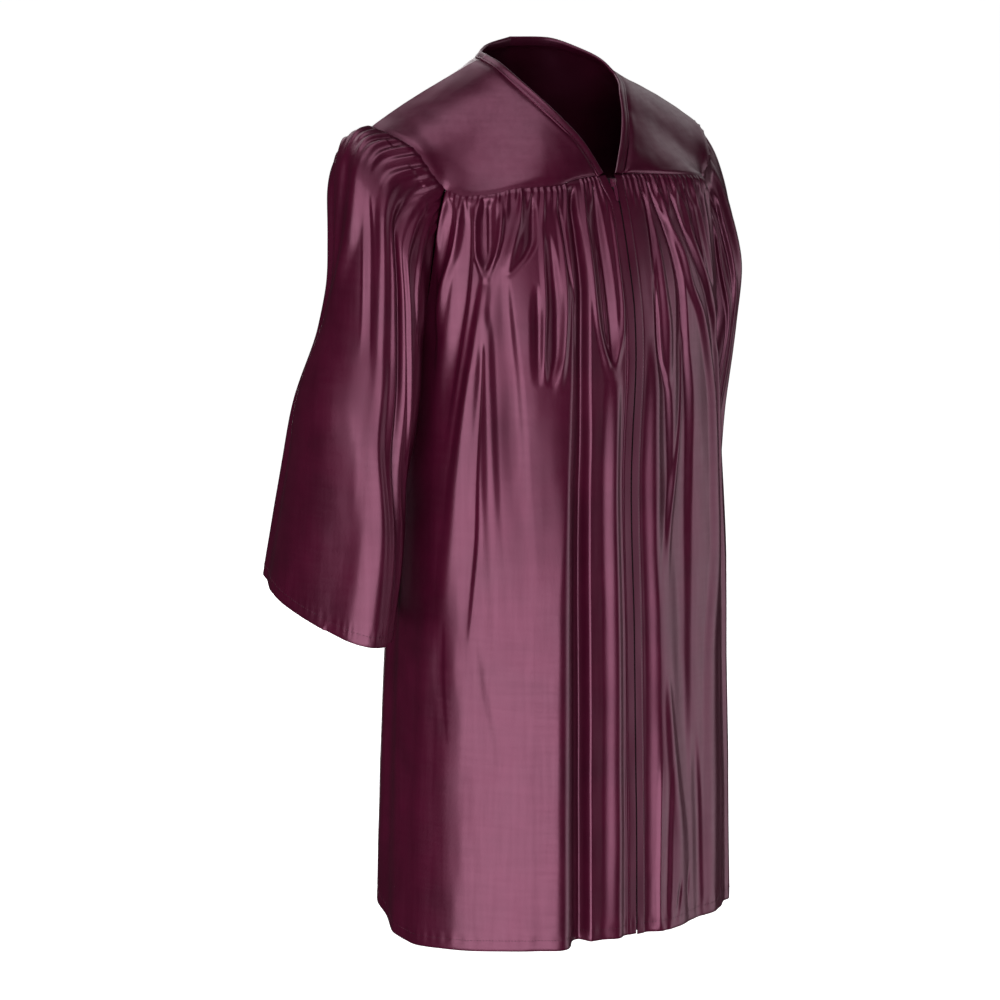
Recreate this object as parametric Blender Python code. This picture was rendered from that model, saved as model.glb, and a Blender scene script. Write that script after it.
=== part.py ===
"""A child's choir robe, filled out as if worn: a hollow shell of sewn pieces.

Metres, +Z up. The front faces -Y and the wearer's right side is at -X. The origin is
midway between the two points where the shoulder seams meet the neck.
"round" is an angle in degrees about the body's axis, seen from above: 0 at the centre
front, positive towards the wearer's right, negative towards the left, 180 at the back.
"""
import math

import bpy
import numpy as np

# Driving sizes
HEM_Z = -0.830
WALL = 0.0015
SEAM_GAP = 0.0003
SLEEVE_SEAM_GAP = 0.0006
ROUNDNESS = 2.6
SIDE_SEAM = 97.7
FRONT_GAP = 0.0016
V_OPENING = 0.0085
V_OPENING_Z = (-0.110, -0.140)
BAND_WIDTH = 0.0090
BAND_WALL = 0.0024
BAND_END_ROUND = 6.5
BAND_END_GAP = 0.0016
ZIP_FLAT_ROUND = (6.5, 12.0)

# Zip: the tape behind the fronts, the slider at its top and the pull tab that hangs from it
TAPE_WIDTH = 0.020
TAPE_WALL = 0.0011
CHAIN_WIDTH = 0.0040
CHAIN_RISE = 0.0010
TAPE_CLEARANCE = 0.0006
TAPE_TOP_Z = -0.1140
TAPE_END_Z = -0.8200
ZIP_TOP_X = -0.0024
ZIP_STRAIGHT_Z = -0.1500
SLIDER_TOP_Z = -0.1146
SLIDER_WIDTH = 0.0048
SLIDER_HEIGHT = 0.0072
SLIDER_WALL = 0.0027
SLIDER_RISE = 0.0009
BAIL_WIDTH = 0.0009
BAIL_RISE = 0.0020
BAIL_BAR = 0.0007
BAIL_PLACES = (0.0010, 0.0052)
PULL_WIDTH = 0.0030
PULL_LENGTH = 0.0170
PULL_WALL = 0.0009
PULL_EYE = (0.0016, 0.0036)
PULL_LEAN = 18.0

# Body sections: height, half-width on each side, depth forward and back
BODY_SECTIONS = (
    # z, right, left, front, back
    (-0.110, 0.155, 0.155, 0.0950, 0.100),
    (-0.150, 0.152, 0.156, 0.1060, 0.105),
    (-0.210, 0.149, 0.160, 0.1160, 0.110),
    (-0.280, 0.147, 0.163, 0.1190, 0.113),
    (-0.390, 0.152, 0.172, 0.1210, 0.118),
    (-0.500, 0.157, 0.178, 0.1250, 0.123),
    (-0.600, 0.162, 0.180, 0.1280, 0.127),
    (-0.830, 0.170, 0.184, 0.1330, 0.132),
)

# How much lower than HEM_Z the hem hangs, round the body
HEM_DROP = (
    # round, drop
    (0, -0.001), (40, -0.003), (52, -0.002), (62, 0.0005), (72, 0.003), (80, 0.006), (88, 0.008),
    (96, 0.007), (100, 0.0055), (106, -0.003), (112, -0.009), (118, -0.012), (140, -0.008),
    (180, 0.000), (262, 0.001), (285, 0.004), (320, 0.001), (360, 0.000),
)

# Top edge of the body pieces: the yoke seam, the armhole and the back yoke seam
TOP_EDGE = {
    "right": (
        # round, z
        (0, -0.1108), (19, -0.1124), (27, -0.1148), (32.4, -0.1180), (44, -0.1190),
        (51.6, -0.1198), (58.7, -0.1236), (68.9, -0.1262), (75.3, -0.1220), (79, -0.1500),
        (85, -0.2050), (91, -0.2500), (97.7, -0.2750), (104, -0.2550), (110, -0.2050),
        (115, -0.1600), (118.5, -0.1320), (125, -0.1330), (150, -0.1370), (180, -0.1390),
    ),
    "left": (
        (0, -0.1108), (25, -0.1120), (43.8, -0.1150), (60, -0.1190), (69, -0.1220),
        (73, -0.1230), (77, -0.1500), (84, -0.2050), (91, -0.2500), (97.7, -0.2750),
        (104, -0.2550), (110, -0.2050), (115, -0.1600), (118.5, -0.1320), (125, -0.1330),
        (150, -0.1370), (180, -0.1390),
    ),
}
YOKE_CORNER = {"right": 75.3, "left": 73.0}
BACK_CORNER = 118.5

# Yoke edge over the shoulder, from the front corner to the back corner
SHOULDER_EDGE = {
    "right": (
        # x, y, z
        (-0.1605, -0.0350, -0.1070), (-0.1720, -0.0240, -0.0850), (-0.1840, 0.0020, -0.0710),
        (-0.1880, 0.0220, -0.0655), (-0.1865, 0.0420, -0.0750), (-0.1790, 0.0620, -0.0950),
        (-0.1670, 0.0740, -0.1150),
    ),
    "left": (
        (0.1630, -0.0370, -0.1040), (0.1730, -0.0180, -0.0850), (0.1800, 0.0040, -0.0740),
        (0.1830, 0.0220, -0.0690), (0.1830, 0.0420, -0.0770), (0.1780, 0.0620, -0.0960),
        (0.1670, 0.0740, -0.1150),
    ),
}
SHOULDER_TIP = 3

# Neck edge from the centre front to the shoulder seam, and on to the centre back
NECK_EDGE = {
    "right": {
        "front": (
            (-0.0105, -0.0938, -0.1088), (-0.0240, -0.0810, -0.0800), (-0.0400, -0.0680, -0.0580),
            (-0.0520, -0.0540, -0.0415), (-0.0600, -0.0360, -0.0270), (-0.0650, -0.0120, -0.0120),
            (-0.0650, 0.0120, -0.0040),
        ),
        "back": (
            (-0.0650, 0.0120, -0.0040), (-0.0560, 0.0340, -0.0015), (-0.0360, 0.0530, 0.0040),
            (0.0000, 0.0660, 0.0100),
        ),
    },
    "left": {
        "front": (
            (0.0018, -0.0955, -0.1098), (0.0146, -0.0830, -0.0975), (0.0320, -0.0660, -0.0780),
            (0.0470, -0.0480, -0.0560), (0.0580, -0.0300, -0.0400), (0.0690, -0.0140, -0.0320),
            (0.0765, 0.0020, -0.0250),
        ),
        "back": (
            (0.0765, 0.0020, -0.0250), (0.0735, 0.0200, -0.0115), (0.0600, 0.0380, -0.0005),
            (0.0360, 0.0570, 0.0090), (0.0000, 0.0660, 0.0100),
        ),
    },
}
YOKE_CROWN = {"front": 0.0060, "shoulder": 0.0030, "back": 0.0070}

# Sleeve sections from the armhole down: the outer and inner points of a tilted ring
SLEEVE_SECTIONS = {
    "right": (
        # outer x, outer z, inner x, inner z, centre y, half depth, front drop
        (-0.2110, -0.0730, -0.1540, -0.2900, 0.0180, 0.0560, 0.000),
        (-0.2260, -0.1020, -0.1540, -0.3050, 0.0140, 0.0520, 0.000),
        (-0.2265, -0.1600, -0.1550, -0.3250, 0.0140, 0.0510, 0.000),
        (-0.2290, -0.2350, -0.1570, -0.3600, 0.0240, 0.0580, 0.006),
        (-0.2440, -0.3150, -0.1620, -0.4050, 0.0400, 0.0700, 0.012),
        (-0.2460, -0.3950, -0.1650, -0.4500, 0.0500, 0.0820, 0.020),
        (-0.2570, -0.5150, -0.1740, -0.5220, 0.0620, 0.0900, 0.022),
    ),
    "left": (
        (0.1960, -0.0800, 0.1680, -0.2900, 0.0290, 0.0460, 0.000),
        (0.2130, -0.1100, 0.1690, -0.3050, 0.0270, 0.0470, 0.000),
        (0.2310, -0.1750, 0.1720, -0.3250, 0.0250, 0.0510, 0.000),
        (0.2350, -0.2400, 0.1760, -0.3600, 0.0400, 0.0560, 0.006),
        (0.2400, -0.3200, 0.1830, -0.4050, 0.0680, 0.0640, 0.012),
        (0.2450, -0.4000, 0.1870, -0.4500, 0.0880, 0.0740, 0.020),
        (0.2510, -0.5180, 0.1930, -0.5180, 0.1050, 0.0820, 0.028),
    ),
}

# Gathers under the yoke seam: where each ridge stands, its length down and its height
BODY_GATHERS = (
    # round, length, height
    (7.2, 0.110, 0.0018), (14.4, 0.150, 0.0026), (20.2, 0.130, 0.0028), (29.7, 0.170, 0.0032),
    (34.6, 0.120, 0.0030), (40.0, 0.140, 0.0032), (45.3, 0.110, 0.0030), (49.4, 0.150, 0.0032),
    (53.6, 0.100, 0.0030), (57.4, 0.130, 0.0036), (63.0, 0.150, 0.0036), (67.2, 0.110, 0.0028),
    (70.6, 0.120, 0.0026), (73.6, 0.140, 0.0024),
    (-9.0, 0.120, 0.0020), (-16.0, 0.160, 0.0030), (-22.0, 0.130, 0.0030), (-28.0, 0.170, 0.0034),
    (-33.7, 0.120, 0.0032), (-39.4, 0.150, 0.0034), (-45.0, 0.130, 0.0032), (-50.7, 0.110, 0.0032),
    (-56.3, 0.140, 0.0030), (-61.4, 0.120, 0.0028), (-65.7, 0.130, 0.0024), (-70.0, 0.110, 0.0022),
)
BACK_GATHERS = 24
GATHER_HALF_ANGLE = 2.9
BACK_GATHER_LENGTH = 0.130
BACK_GATHER_HEIGHT = 0.0034

# Long folds of the body: ridges stand out, troughs have a height below zero
BODY_FOLDS = (
    # round at top, round at hem, start z, end z, half-width at top, at hem, height
    (14, 12, -0.16, -0.83, 5, 6, 0.0060),
    (27, 25, -0.12, -0.83, 6, 9, -0.0130),
    (44, 40, -0.20, -0.83, 9, 14, 0.0070),
    (57, 55, -0.30, -0.62, 6, 7, -0.0040),
    (66, 60, -0.16, -0.60, 5, 10, 0.0060),
    (80, 76, -0.30, -0.83, 8, 10, -0.0060),
    (-11, -10, -0.14, -0.83, 4, 5, -0.0050),
    (-20, -18, -0.14, -0.83, 5, 6, 0.0060),
    (-30, -29, -0.14, -0.70, 5, 6, -0.0060),
    (-40, -41, -0.14, -0.83, 6, 8, 0.0060),
    (-54, -55, -0.16, -0.83, 6, 8, -0.0060),
    (-70, -68, -0.20, -0.83, 8, 9, 0.0050),
    (104, 104, -0.30, -0.83, 8, 10, 0.0060),
    (122, 120, -0.16, -0.83, 7, 9, -0.0080),
    (137, 136, -0.16, -0.83, 6, 8, 0.0070),
    (151, 152, -0.16, -0.70, 6, 7, -0.0070),
    (165, 166, -0.16, -0.83, 6, 8, 0.0070),
    (179, 178, -0.16, -0.83, 6, 9, -0.0070),
    (-165, -164, -0.16, -0.83, 6, 8, 0.0070),
    (-149, -150, -0.16, -0.83, 7, 8, -0.0070),
    (-134, -133, -0.16, -0.74, 6, 8, 0.0070),
    (-120, -119, -0.16, -0.83, 7, 9, -0.0080),
    (-104, -102, -0.30, -0.83, 8, 10, 0.0060),
)

# Sleeves: "turn" runs from 0 at the underarm over the front, 0.5 at the shoulder tip and on
# down the back to 1. The same folds are made on both sleeves.
SLEEVE_GATHERS = 18
SLEEVE_GATHER_LENGTH = 0.100
SLEEVE_GATHER_HALF_TURN = 0.011
SLEEVE_FALL = 0.470
SLEEVE_GATHER_HEIGHT = 0.0030
SLEEVE_FOLDS = (
    # turn at top, turn at hem, start, end (down the sleeve), half-width at top, at hem, height
    (0.300, 0.235, 0.02, 0.47, 0.016, 0.020, -0.0050),
    (0.335, 0.275, 0.02, 0.47, 0.018, 0.030, 0.0060),
    (0.375, 0.330, 0.02, 0.47, 0.016, 0.022, -0.0055),
    (0.410, 0.380, 0.02, 0.47, 0.018, 0.028, 0.0045),
    (0.460, 0.440, 0.03, 0.47, 0.018, 0.028, -0.0040),
    (0.510, 0.510, 0.03, 0.40, 0.018, 0.028, 0.0040),
    (0.570, 0.580, 0.03, 0.47, 0.020, 0.028, -0.0050),
    (0.630, 0.660, 0.03, 0.47, 0.020, 0.030, 0.0060),
    (0.680, 0.730, 0.04, 0.47, 0.018, 0.028, -0.0060),
    (0.800, 0.820, 0.08, 0.47, 0.030, 0.030, 0.0040),
)

# Mesh density: rows as distances down from the seam, or as places in the list of sections
BODY_ROWS = (0, 0.012, 0.035, 0.070, 0.120, 0.190, 0.280, 0.380, 0.500, 0.610, 0.720)
SLEEVE_ROWS = (0, 0.3, 0.7, 1.1, 1.6, 2.3, 3.1, 4.0, 5.0, 6.0, 7)
YOKE_ROWS = (0, 0.34, 0.70, 1)
FRONT_EDGE_COLUMNS = (0.0, 3.5)
SIDE_COLUMNS = (79.0, 83.0, 87.0, 91.0, 94.5)
BACK_SIDE_COLUMNS = (101.0, 104.5, 108.0, 111.5, 115.0)
ENDS_KEPT = 8

CLOTH = (0.070, 0.010, 0.030, 1.0)
CLOTH_ROUGHNESS = 0.30
ZIP_TAPE_COLOUR = (0.030, 0.006, 0.014, 1.0)
PULL_COLOUR = (0.120, 0.020, 0.050, 1.0)


def side_sign(side):
    """+1 on the wearer's right, where angles are positive, and -1 on the left."""
    return 1.0 if side == "right" else -1.0


def soft_step(value, start, end):
    """0 before start, 1 after end, smooth between."""
    part = np.clip((value - start) / (end - start), 0.0, 1.0)
    return part * part * (3.0 - 2.0 * part)


def bell(value):
    """1 at 0, falling smoothly to 0 at -1 and 1."""
    return 0.5 + 0.5 * np.cos(np.pi * np.clip(value, -1.0, 1.0))


def smooth_through(at, places, values):
    """A smooth curve through values at the rising places, without overshoot."""
    places = np.asarray(places, float)
    values = np.asarray(values, float)
    flat = values.ndim == 1
    if flat:
        values = values[:, None]
    steps = np.diff(places)[:, None]
    slopes = np.diff(values, axis=0) / steps
    tangents = np.vstack([slopes[:1], (slopes[1:] + slopes[:-1]) / 2, slopes[-1:]])
    turning = slopes[1:] * slopes[:-1] <= 0
    tangents[1:-1][turning] = 0.0
    limit = 3.0 * np.minimum(np.abs(slopes[1:]), np.abs(slopes[:-1]))
    tangents[1:-1] = np.clip(tangents[1:-1], -limit, limit)
    at = np.clip(np.atleast_1d(np.asarray(at, float)), places[0], places[-1])
    cell = np.clip(np.searchsorted(places, at, side="right") - 1, 0, len(places) - 2)
    part = ((at - places[cell]) / (places[cell + 1] - places[cell]))[:, None]
    width = steps[cell]
    found = (
        (1 + 2 * part) * (1 - part) ** 2 * values[cell]
        + part * (1 - part) ** 2 * width * tangents[cell]
        + part**2 * (3 - 2 * part) * values[cell + 1]
        + part**2 * (part - 1) * width * tangents[cell + 1]
    )
    return found[:, 0] if flat else found


def lengths_along(points):
    """Distance of each point from the first, along the line through them all."""
    steps = np.linalg.norm(np.diff(points, axis=0), axis=1)
    return np.concatenate([[0.0], np.cumsum(steps)])


def along_path(points, fractions):
    """Points at these fractions of the length of a smooth path through the given points."""
    points = np.asarray(points, float)
    chord = lengths_along(points)
    fine = smooth_through(np.linspace(0, chord[-1], 240), chord, points)
    length = lengths_along(fine)
    wanted = np.asarray(fractions, float) * length[-1]
    return np.stack([np.interp(wanted, length, fine[:, axis]) for axis in range(3)], axis=1)


def signed(round_deg):
    """Angles from 0 to 360 as positive on the wearer's right and negative on the left."""
    round_deg = np.asarray(round_deg, float)
    return np.where(round_deg > 180.0, round_deg - 360.0, round_deg)


def top_edge_z(round_deg):
    """Height of the body pieces' top edge, all round."""
    angle = signed(np.ravel(round_deg))
    right = smooth_through(np.abs(angle), *zip(*TOP_EDGE["right"]))
    left = smooth_through(np.abs(angle), *zip(*TOP_EDGE["left"]))
    on_left = np.ravel(round_deg) > 180.0
    return np.where(on_left, left, right).reshape(np.shape(round_deg))


def body_points(round_deg, z):
    """Points of the smooth body, without folds, at these angles and heights."""
    round_deg, z = np.broadcast_arrays(np.asarray(round_deg, float), np.asarray(z, float))
    heights, right, left, front, back = np.array(sorted(BODY_SECTIONS)).T
    sizes = smooth_through(z.ravel(), heights, np.stack([right, left, front, back], axis=1))
    sizes = sizes.reshape(z.shape + (4,))
    across = np.sin(np.radians(round_deg))
    forward = np.cos(np.radians(round_deg))
    half_width = np.where(across >= 0, sizes[..., 0], sizes[..., 1])
    depth = np.where(forward >= 0, sizes[..., 2], sizes[..., 3])
    reach = (np.abs(across) / half_width) ** ROUNDNESS + (np.abs(forward) / depth) ** ROUNDNESS
    radius = reach ** (-1.0 / ROUNDNESS)
    return np.stack([-radius * across, -radius * forward, z], axis=-1)


def hem_z(round_deg):
    """Height of the body's hem, all round."""
    drop = smooth_through(np.ravel(round_deg), *zip(*HEM_DROP))
    return HEM_Z - drop.reshape(np.shape(round_deg))


def open_front(points, round_deg):
    """Parts the two fronts at the zip, wider at the top on the wearer's right."""
    points = points.copy()
    near_zip = np.clip(1.0 - np.abs(points[..., 0]) / 0.03, 0.0, 1.0) * (points[..., 1] < 0)
    top = soft_step(points[..., 2], V_OPENING_Z[1], V_OPENING_Z[0])
    on_right = np.asarray(round_deg) <= 180.0
    shift = np.where(on_right, -FRONT_GAP / 2 - V_OPENING * top, FRONT_GAP / 2)
    points[..., 0] += shift * near_zip
    return points


def back_gathers():
    """Gathers spread evenly over the back, a little uneven in place, length and height."""
    gathers = []
    first = BACK_CORNER + 2.0
    span = 360.0 - 2.0 * first
    for number in range(BACK_GATHERS):
        wobble = math.sin(2.4 * number)
        place = first + span * (number + 0.5 + 0.12 * wobble) / BACK_GATHERS
        length = BACK_GATHER_LENGTH * (1 + 0.25 * wobble)
        gathers.append((place, length, BACK_GATHER_HEIGHT * (1 - 0.2 * wobble)))
    return gathers


def body_gathers():
    """The front gathers of the table and those of the back, with angles from 0 to 360."""
    front = [(place % 360.0, length, height) for place, length, height in BODY_GATHERS]
    return front + back_gathers()


def body_fold_height(round_deg, z):
    """How far the folds stand out of the smooth body, in metres."""
    drop = top_edge_z(round_deg) - z
    height = np.zeros(z.shape)
    for place, length, rise in body_gathers():
        fade = soft_step(drop, 0.0, 0.016) * (1 - soft_step(drop, 0.3 * length, length))
        away = np.abs(round_deg - place)
        height += rise * fade * (bell(away / GATHER_HALF_ANGLE) - 0.4 * (away < 2 * GATHER_HALF_ANGLE))
    for top, hem, start, end, wide_top, wide_hem, rise in BODY_FOLDS:
        down = np.clip((start - z) / (start - HEM_Z), 0.0, 1.0)
        place = top + (hem - top) * down
        wide = wide_top + (wide_hem - wide_top) * down
        fade = soft_step(-z, -start, -start + 0.08)
        if end > HEM_Z:
            fade = fade * (1 - soft_step(-z, -end - 0.12, -end))
        away = (round_deg - place + 180.0) % 360.0 - 180.0
        height += rise * fade * bell(away / (1.6 * wide))
    flat_by_zip = soft_step(np.abs(signed(round_deg)), *ZIP_FLAT_ROUND)
    return height * flat_by_zip * soft_step(drop, 0.0, 0.010)


def outward_normals(grid, closed=False):
    """Unit normals of a grid of points whose rows run down and whose columns run round."""
    if closed:
        across = np.roll(grid, -1, axis=1) - np.roll(grid, 1, axis=1)
    else:
        across = np.gradient(grid, axis=1)
    normals = np.cross(np.gradient(grid, axis=0), across)
    return normals / np.linalg.norm(normals, axis=2, keepdims=True)


def turned_outwards(normals, grid, inside):
    """The normals, all reversed if they point towards an inside point."""
    away = np.sum(normals * (grid - np.asarray(inside)), axis=2)
    return normals if away.mean() > 0 else -normals


def between(values):
    """The values with the middle of each pair added."""
    middles = [(low + high) / 2 for low, high in zip(values, values[1:])]
    return sorted(list(values) + middles)


def body_columns():
    """Angles of the body's columns: on each gather's ridge, in each valley and at each seam."""
    columns = []
    for side in ("right", "left"):
        sign = side_sign(side)
        ridges = sorted(abs(place) for place, _, _ in BODY_GATHERS if place * sign > 0)
        half = [*FRONT_EDGE_COLUMNS, *between(ridges), YOKE_CORNER[side], *SIDE_COLUMNS, SIDE_SEAM]
        half += [*BACK_SIDE_COLUMNS, BACK_CORNER]
        columns += half if side == "right" else [360.0 - place for place in half]
    ridges = [place for place, _, _ in back_gathers()]
    return np.array(sorted(columns + between(ridges)))


def shoulder_path(side, part):
    """The yoke's end over the shoulder: from the front corner to the tip, or on to the back."""
    corner = YOKE_CORNER[side] if part == "front" else BACK_CORNER
    corner = corner if side == "right" else 360.0 - corner
    on_body = body_points(corner, top_edge_z(corner))
    shoulder = np.array(SHOULDER_EDGE[side])
    if part == "front":
        return np.vstack([on_body, shoulder[: SHOULDER_TIP + 1]])
    return np.vstack([shoulder[SHOULDER_TIP:], on_body])


def shoulder_points(side, part):
    """Points along the shoulder end, one on each sleeve gather's ridge and valley."""
    return along_path(shoulder_path(side, part), np.linspace(0, 1, SLEEVE_GATHERS + 1))


def seam_points(angles):
    """Points of the body's top edge."""
    angles = np.asarray(angles, float)
    return open_front(body_points(angles, top_edge_z(angles)), angles)


def yoke_half(side):
    """One side of the yoke from centre front to centre back, with its neck band as row 0 to 1.

    Gives the grid of points and the number of the column at the shoulder tip.
    """
    angles = body_columns()
    angles = angles[angles <= 180.0] if side == "right" else 360.0 - angles[angles >= 180.0][::-1]
    front = angles[(angles > BAND_END_ROUND) & (angles <= YOKE_CORNER[side])]
    front = np.concatenate([[BAND_END_ROUND], front])
    back = angles[angles >= BACK_CORNER]
    if side == "left":
        front, back = 360.0 - front, 360.0 - back
    front_edge = np.vstack([seam_points(front), shoulder_points(side, "front")[1:]])
    back_edge = np.vstack([shoulder_points(side, "back"), seam_points(back)[1:]])
    halves = []
    for part, edge in (("front", front_edge), ("back", back_edge)):
        fractions = lengths_along(edge)
        fractions = fractions / fractions[-1]
        neck = along_path(NECK_EDGE[side][part], fractions)
        across = edge - neck
        width = np.linalg.norm(across, axis=1)
        band = np.clip(BAND_WIDTH / width, 0.0, 0.93)
        rows = [np.zeros_like(band)]
        rows += [band + (1 - band) * row for row in YOKE_ROWS]
        distances = np.array(rows)[..., None]
        to_shoulder = fractions if part == "front" else 1 - fractions
        crown = YOKE_CROWN[part] + (YOKE_CROWN["shoulder"] - YOKE_CROWN[part]) * to_shoulder
        crown = crown * np.clip(width / 0.06, 0.0, 1.0)
        lift = np.array([0.0, -1.0 if part == "front" else 1.0, 1.0])
        lift = lift / np.linalg.norm(lift) * (1 - to_shoulder)[:, None] + np.outer(to_shoulder, (0, 0, 1))
        rise = lift[None] * (crown[None, :, None] * 4 * distances * (1 - distances))
        halves.append(neck[None] + across[None] * distances + rise)
    grid = np.concatenate([halves[0], halves[1][:, 1:]], axis=1)
    return grid, halves[0].shape[1] - 1


def make_material(name, colour, roughness, metallic=0.0):
    material = bpy.data.materials.new(name)
    material.use_nodes = True
    shader = material.node_tree.nodes["Principled BSDF"]
    shader.inputs["Base Color"].default_value = colour
    shader.inputs["Roughness"].default_value = roughness
    shader.inputs["Metallic"].default_value = metallic
    material.diffuse_color = colour
    return material


def make_object(name, points, faces, material):
    mesh = bpy.data.meshes.new(name)
    mesh.from_pydata([tuple(point) for point in points], [], faces)
    mesh.materials.append(material)
    mesh.shade_smooth()
    made = bpy.data.objects.new(name, mesh)
    bpy.context.scene.collection.objects.link(made)
    return made


def make_wall(name, outer, normals, wall=WALL, closed=False):
    """A piece of cloth as a closed wall: its outer face, and an inner one a wall behind it."""
    rows, columns = outer.shape[:2]
    inner = outer - wall * normals
    behind = rows * columns
    ring = columns if closed else columns - 1
    faces = []
    for row in range(rows - 1):
        for column in range(ring):
            after = (column + 1) % columns
            a, b = row * columns + column, row * columns + after
            c, d = a + columns, b + columns
            faces += [(a, c, d, b), (behind + a, behind + b, behind + d, behind + c)]
    last = (rows - 1) * columns
    for column in range(ring):
        after = (column + 1) % columns
        faces.append((column, after, behind + after, behind + column))
        faces.append((last + after, last + column, behind + last + column, behind + last + after))
    if not closed:
        for row in range(rows - 1):
            a, b = row * columns, (row + 1) * columns
            faces.append((b, a, behind + a, behind + b))
            a, b = a + columns - 1, b + columns - 1
            faces.append((a, b, behind + b, behind + a))
    middle = columns // 2
    corner = outer[0, middle]
    facing = np.cross(outer[1, middle] - corner, outer[0, middle + 1] - corner)
    if np.dot(facing, normals[0, middle]) < 0:
        faces = [face[::-1] for face in faces]
    points = np.concatenate([outer.reshape(-1, 3), inner.reshape(-1, 3)])
    return make_object(name, points, faces, make_material(name, CLOTH, CLOTH_ROUGHNESS))


def drawn_in(grid, edge, gap):
    """The grid with one edge moved towards its neighbours, to leave a gap at a seam."""
    grid = grid.copy()
    edges = {"top": (0, 1), "bottom": (-1, -2)}
    if edge in edges:
        at, near = edges[edge]
        step = grid[near] - grid[at]
        grid[at] += gap * step / np.linalg.norm(step, axis=1, keepdims=True)
        return grid
    at, near = (0, 1) if edge == "first" else (-1, -2)
    step = grid[:, near] - grid[:, at]
    grid[:, at] += gap * step / np.linalg.norm(step, axis=1, keepdims=True)
    return grid


def thinned(grid):
    """Every second column of a grid, with all those near its two ends kept."""
    middle = grid[:, ENDS_KEPT:-ENDS_KEPT:2]
    return np.concatenate([grid[:, :ENDS_KEPT], middle, grid[:, -ENDS_KEPT:]], axis=1)


def make_yokes_and_band():
    """Two front yokes, a back yoke and the neck band, cut from one surface."""
    right, shoulder = yoke_half("right")
    left, left_shoulder = yoke_half("left")
    whole = np.concatenate([right, left[:, -2::-1]], axis=1)
    far_shoulder = whole.shape[1] - 1 - left_shoulder
    normals = turned_outwards(outward_normals(whole), whole, (0, 0, -0.3))
    angles = np.degrees(np.arctan2(-whole[-1, :, 0], -whole[-1, :, 1])) % 360.0
    on_seam = np.abs(whole[-1, :, 2] - top_edge_z(angles)) < 1e-4
    normals[-1][on_seam] = body_normals(angles, top_edge_z(angles))[on_seam]
    half = SEAM_GAP / 2
    band = drawn_in(drawn_in(whole[:2], "first", BAND_END_GAP), "last", BAND_END_GAP)
    band = drawn_in(band, "bottom", half)
    make_wall("neck_band", thinned(band), thinned(normals[:2]), BAND_WALL)
    pieces = {
        "front_yoke_right": (1, shoulder + 1),
        "back_yoke": (shoulder, far_shoulder + 1),
        "front_yoke_left": (far_shoulder, whole.shape[1] - 1),
    }
    for name, (first, last) in pieces.items():
        grid = whole[1:, first:last]
        for edge in ("top", "bottom", "first", "last"):
            grid = drawn_in(grid, edge, half)
        make_wall(name, grid, normals[1:, first:last])
    return whole[-1], normals[-1]


def body_normals(round_deg, z):
    """Outward normals of the smooth body."""
    step = 0.05
    across = body_points(round_deg + step, z) - body_points(round_deg - step, z)
    down = body_points(round_deg, z - 1e-4) - body_points(round_deg, z + 1e-4)
    normals = np.cross(across, down)
    normals /= np.linalg.norm(normals, axis=-1, keepdims=True)
    outward = np.sum(normals[..., :2] * body_points(round_deg, z)[..., :2], axis=-1)
    return normals * np.sign(outward)[..., None]


def make_body():
    """Two fronts that part at the zip, and a back from side seam to side seam."""
    columns = body_columns()
    top = top_edge_z(columns)
    down = np.array(BODY_ROWS)[:, None] / BODY_ROWS[-1]
    z = top[None, :] + down * (hem_z(columns) - top)[None, :]
    round_deg = np.broadcast_to(columns, z.shape)
    smooth = body_points(round_deg, z)
    plain = body_normals(round_deg, z)
    grid = open_front(smooth + plain * body_fold_height(round_deg, z)[..., None], round_deg)
    normals = turned_outwards(outward_normals(grid), grid, (0, 0, -0.45))
    side_seams = np.flatnonzero(np.isclose(np.abs(signed(columns)), SIDE_SEAM))
    seams = [0, *side_seams, len(columns) - 1]
    normals[0] = plain[0]
    normals[:, seams] = plain[:, seams]
    pieces = ("front_right", "back", "front_left")
    for name, first, last in zip(pieces, seams, seams[1:]):
        piece = drawn_in(grid[:, first : last + 1], "top", SEAM_GAP / 2)
        if name != "front_right":
            piece = drawn_in(piece, "first", SEAM_GAP / 2)
        if name != "front_left":
            piece = drawn_in(piece, "last", SEAM_GAP / 2)
        make_wall(name, piece, normals[:, first : last + 1])


def armhole_loop(side):
    """The armhole's points from the underarm up the front, over the shoulder and down the back.

    Gives the points, each one's turn from 0 to 1, and which of them lie on the yoke.
    """
    to_corner = [SIDE_SEAM, *SIDE_COLUMNS[::-1]]
    from_corner = [*BACK_SIDE_COLUMNS[::-1]]
    if side == "left":
        to_corner = [360.0 - angle for angle in to_corner]
        from_corner = [360.0 - angle for angle in from_corner]
    over_front = shoulder_points(side, "front")
    over_back = shoulder_points(side, "back")
    rising = np.vstack([seam_points(to_corner), over_front])
    falling = np.vstack([over_back[1:], seam_points(from_corner)])
    underarm = rising[:1]
    up = lengths_along(rising)
    down = lengths_along(np.vstack([rising[-1:], falling, underarm]))
    turns = np.concatenate([0.5 * up / up[-1], 0.5 + 0.5 * down[1:-1] / down[-1]])
    points = np.vstack([rising, falling])
    on_yoke = np.zeros(len(points), bool)
    first = len(to_corner)
    on_yoke[first : first + 2 * SLEEVE_GATHERS + 1] = True
    return points, turns, on_yoke


def sleeve_rings(side, loop, turns):
    """The armhole and each of the sleeve's sections, as points at these turns."""
    rings = [loop]
    angle = 2 * np.pi * turns
    for outer_x, outer_z, inner_x, inner_z, centre_y, depth, drop in SLEEVE_SECTIONS[side]:
        outward = (1 - np.cos(angle)) / 2
        forward = np.sin(angle)
        x = inner_x + (outer_x - inner_x) * outward
        y = centre_y - depth * forward
        z = inner_z + (outer_z - inner_z) * outward - drop * forward
        rings.append(np.stack([x, y, z], axis=1))
    return np.array(rings)


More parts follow.
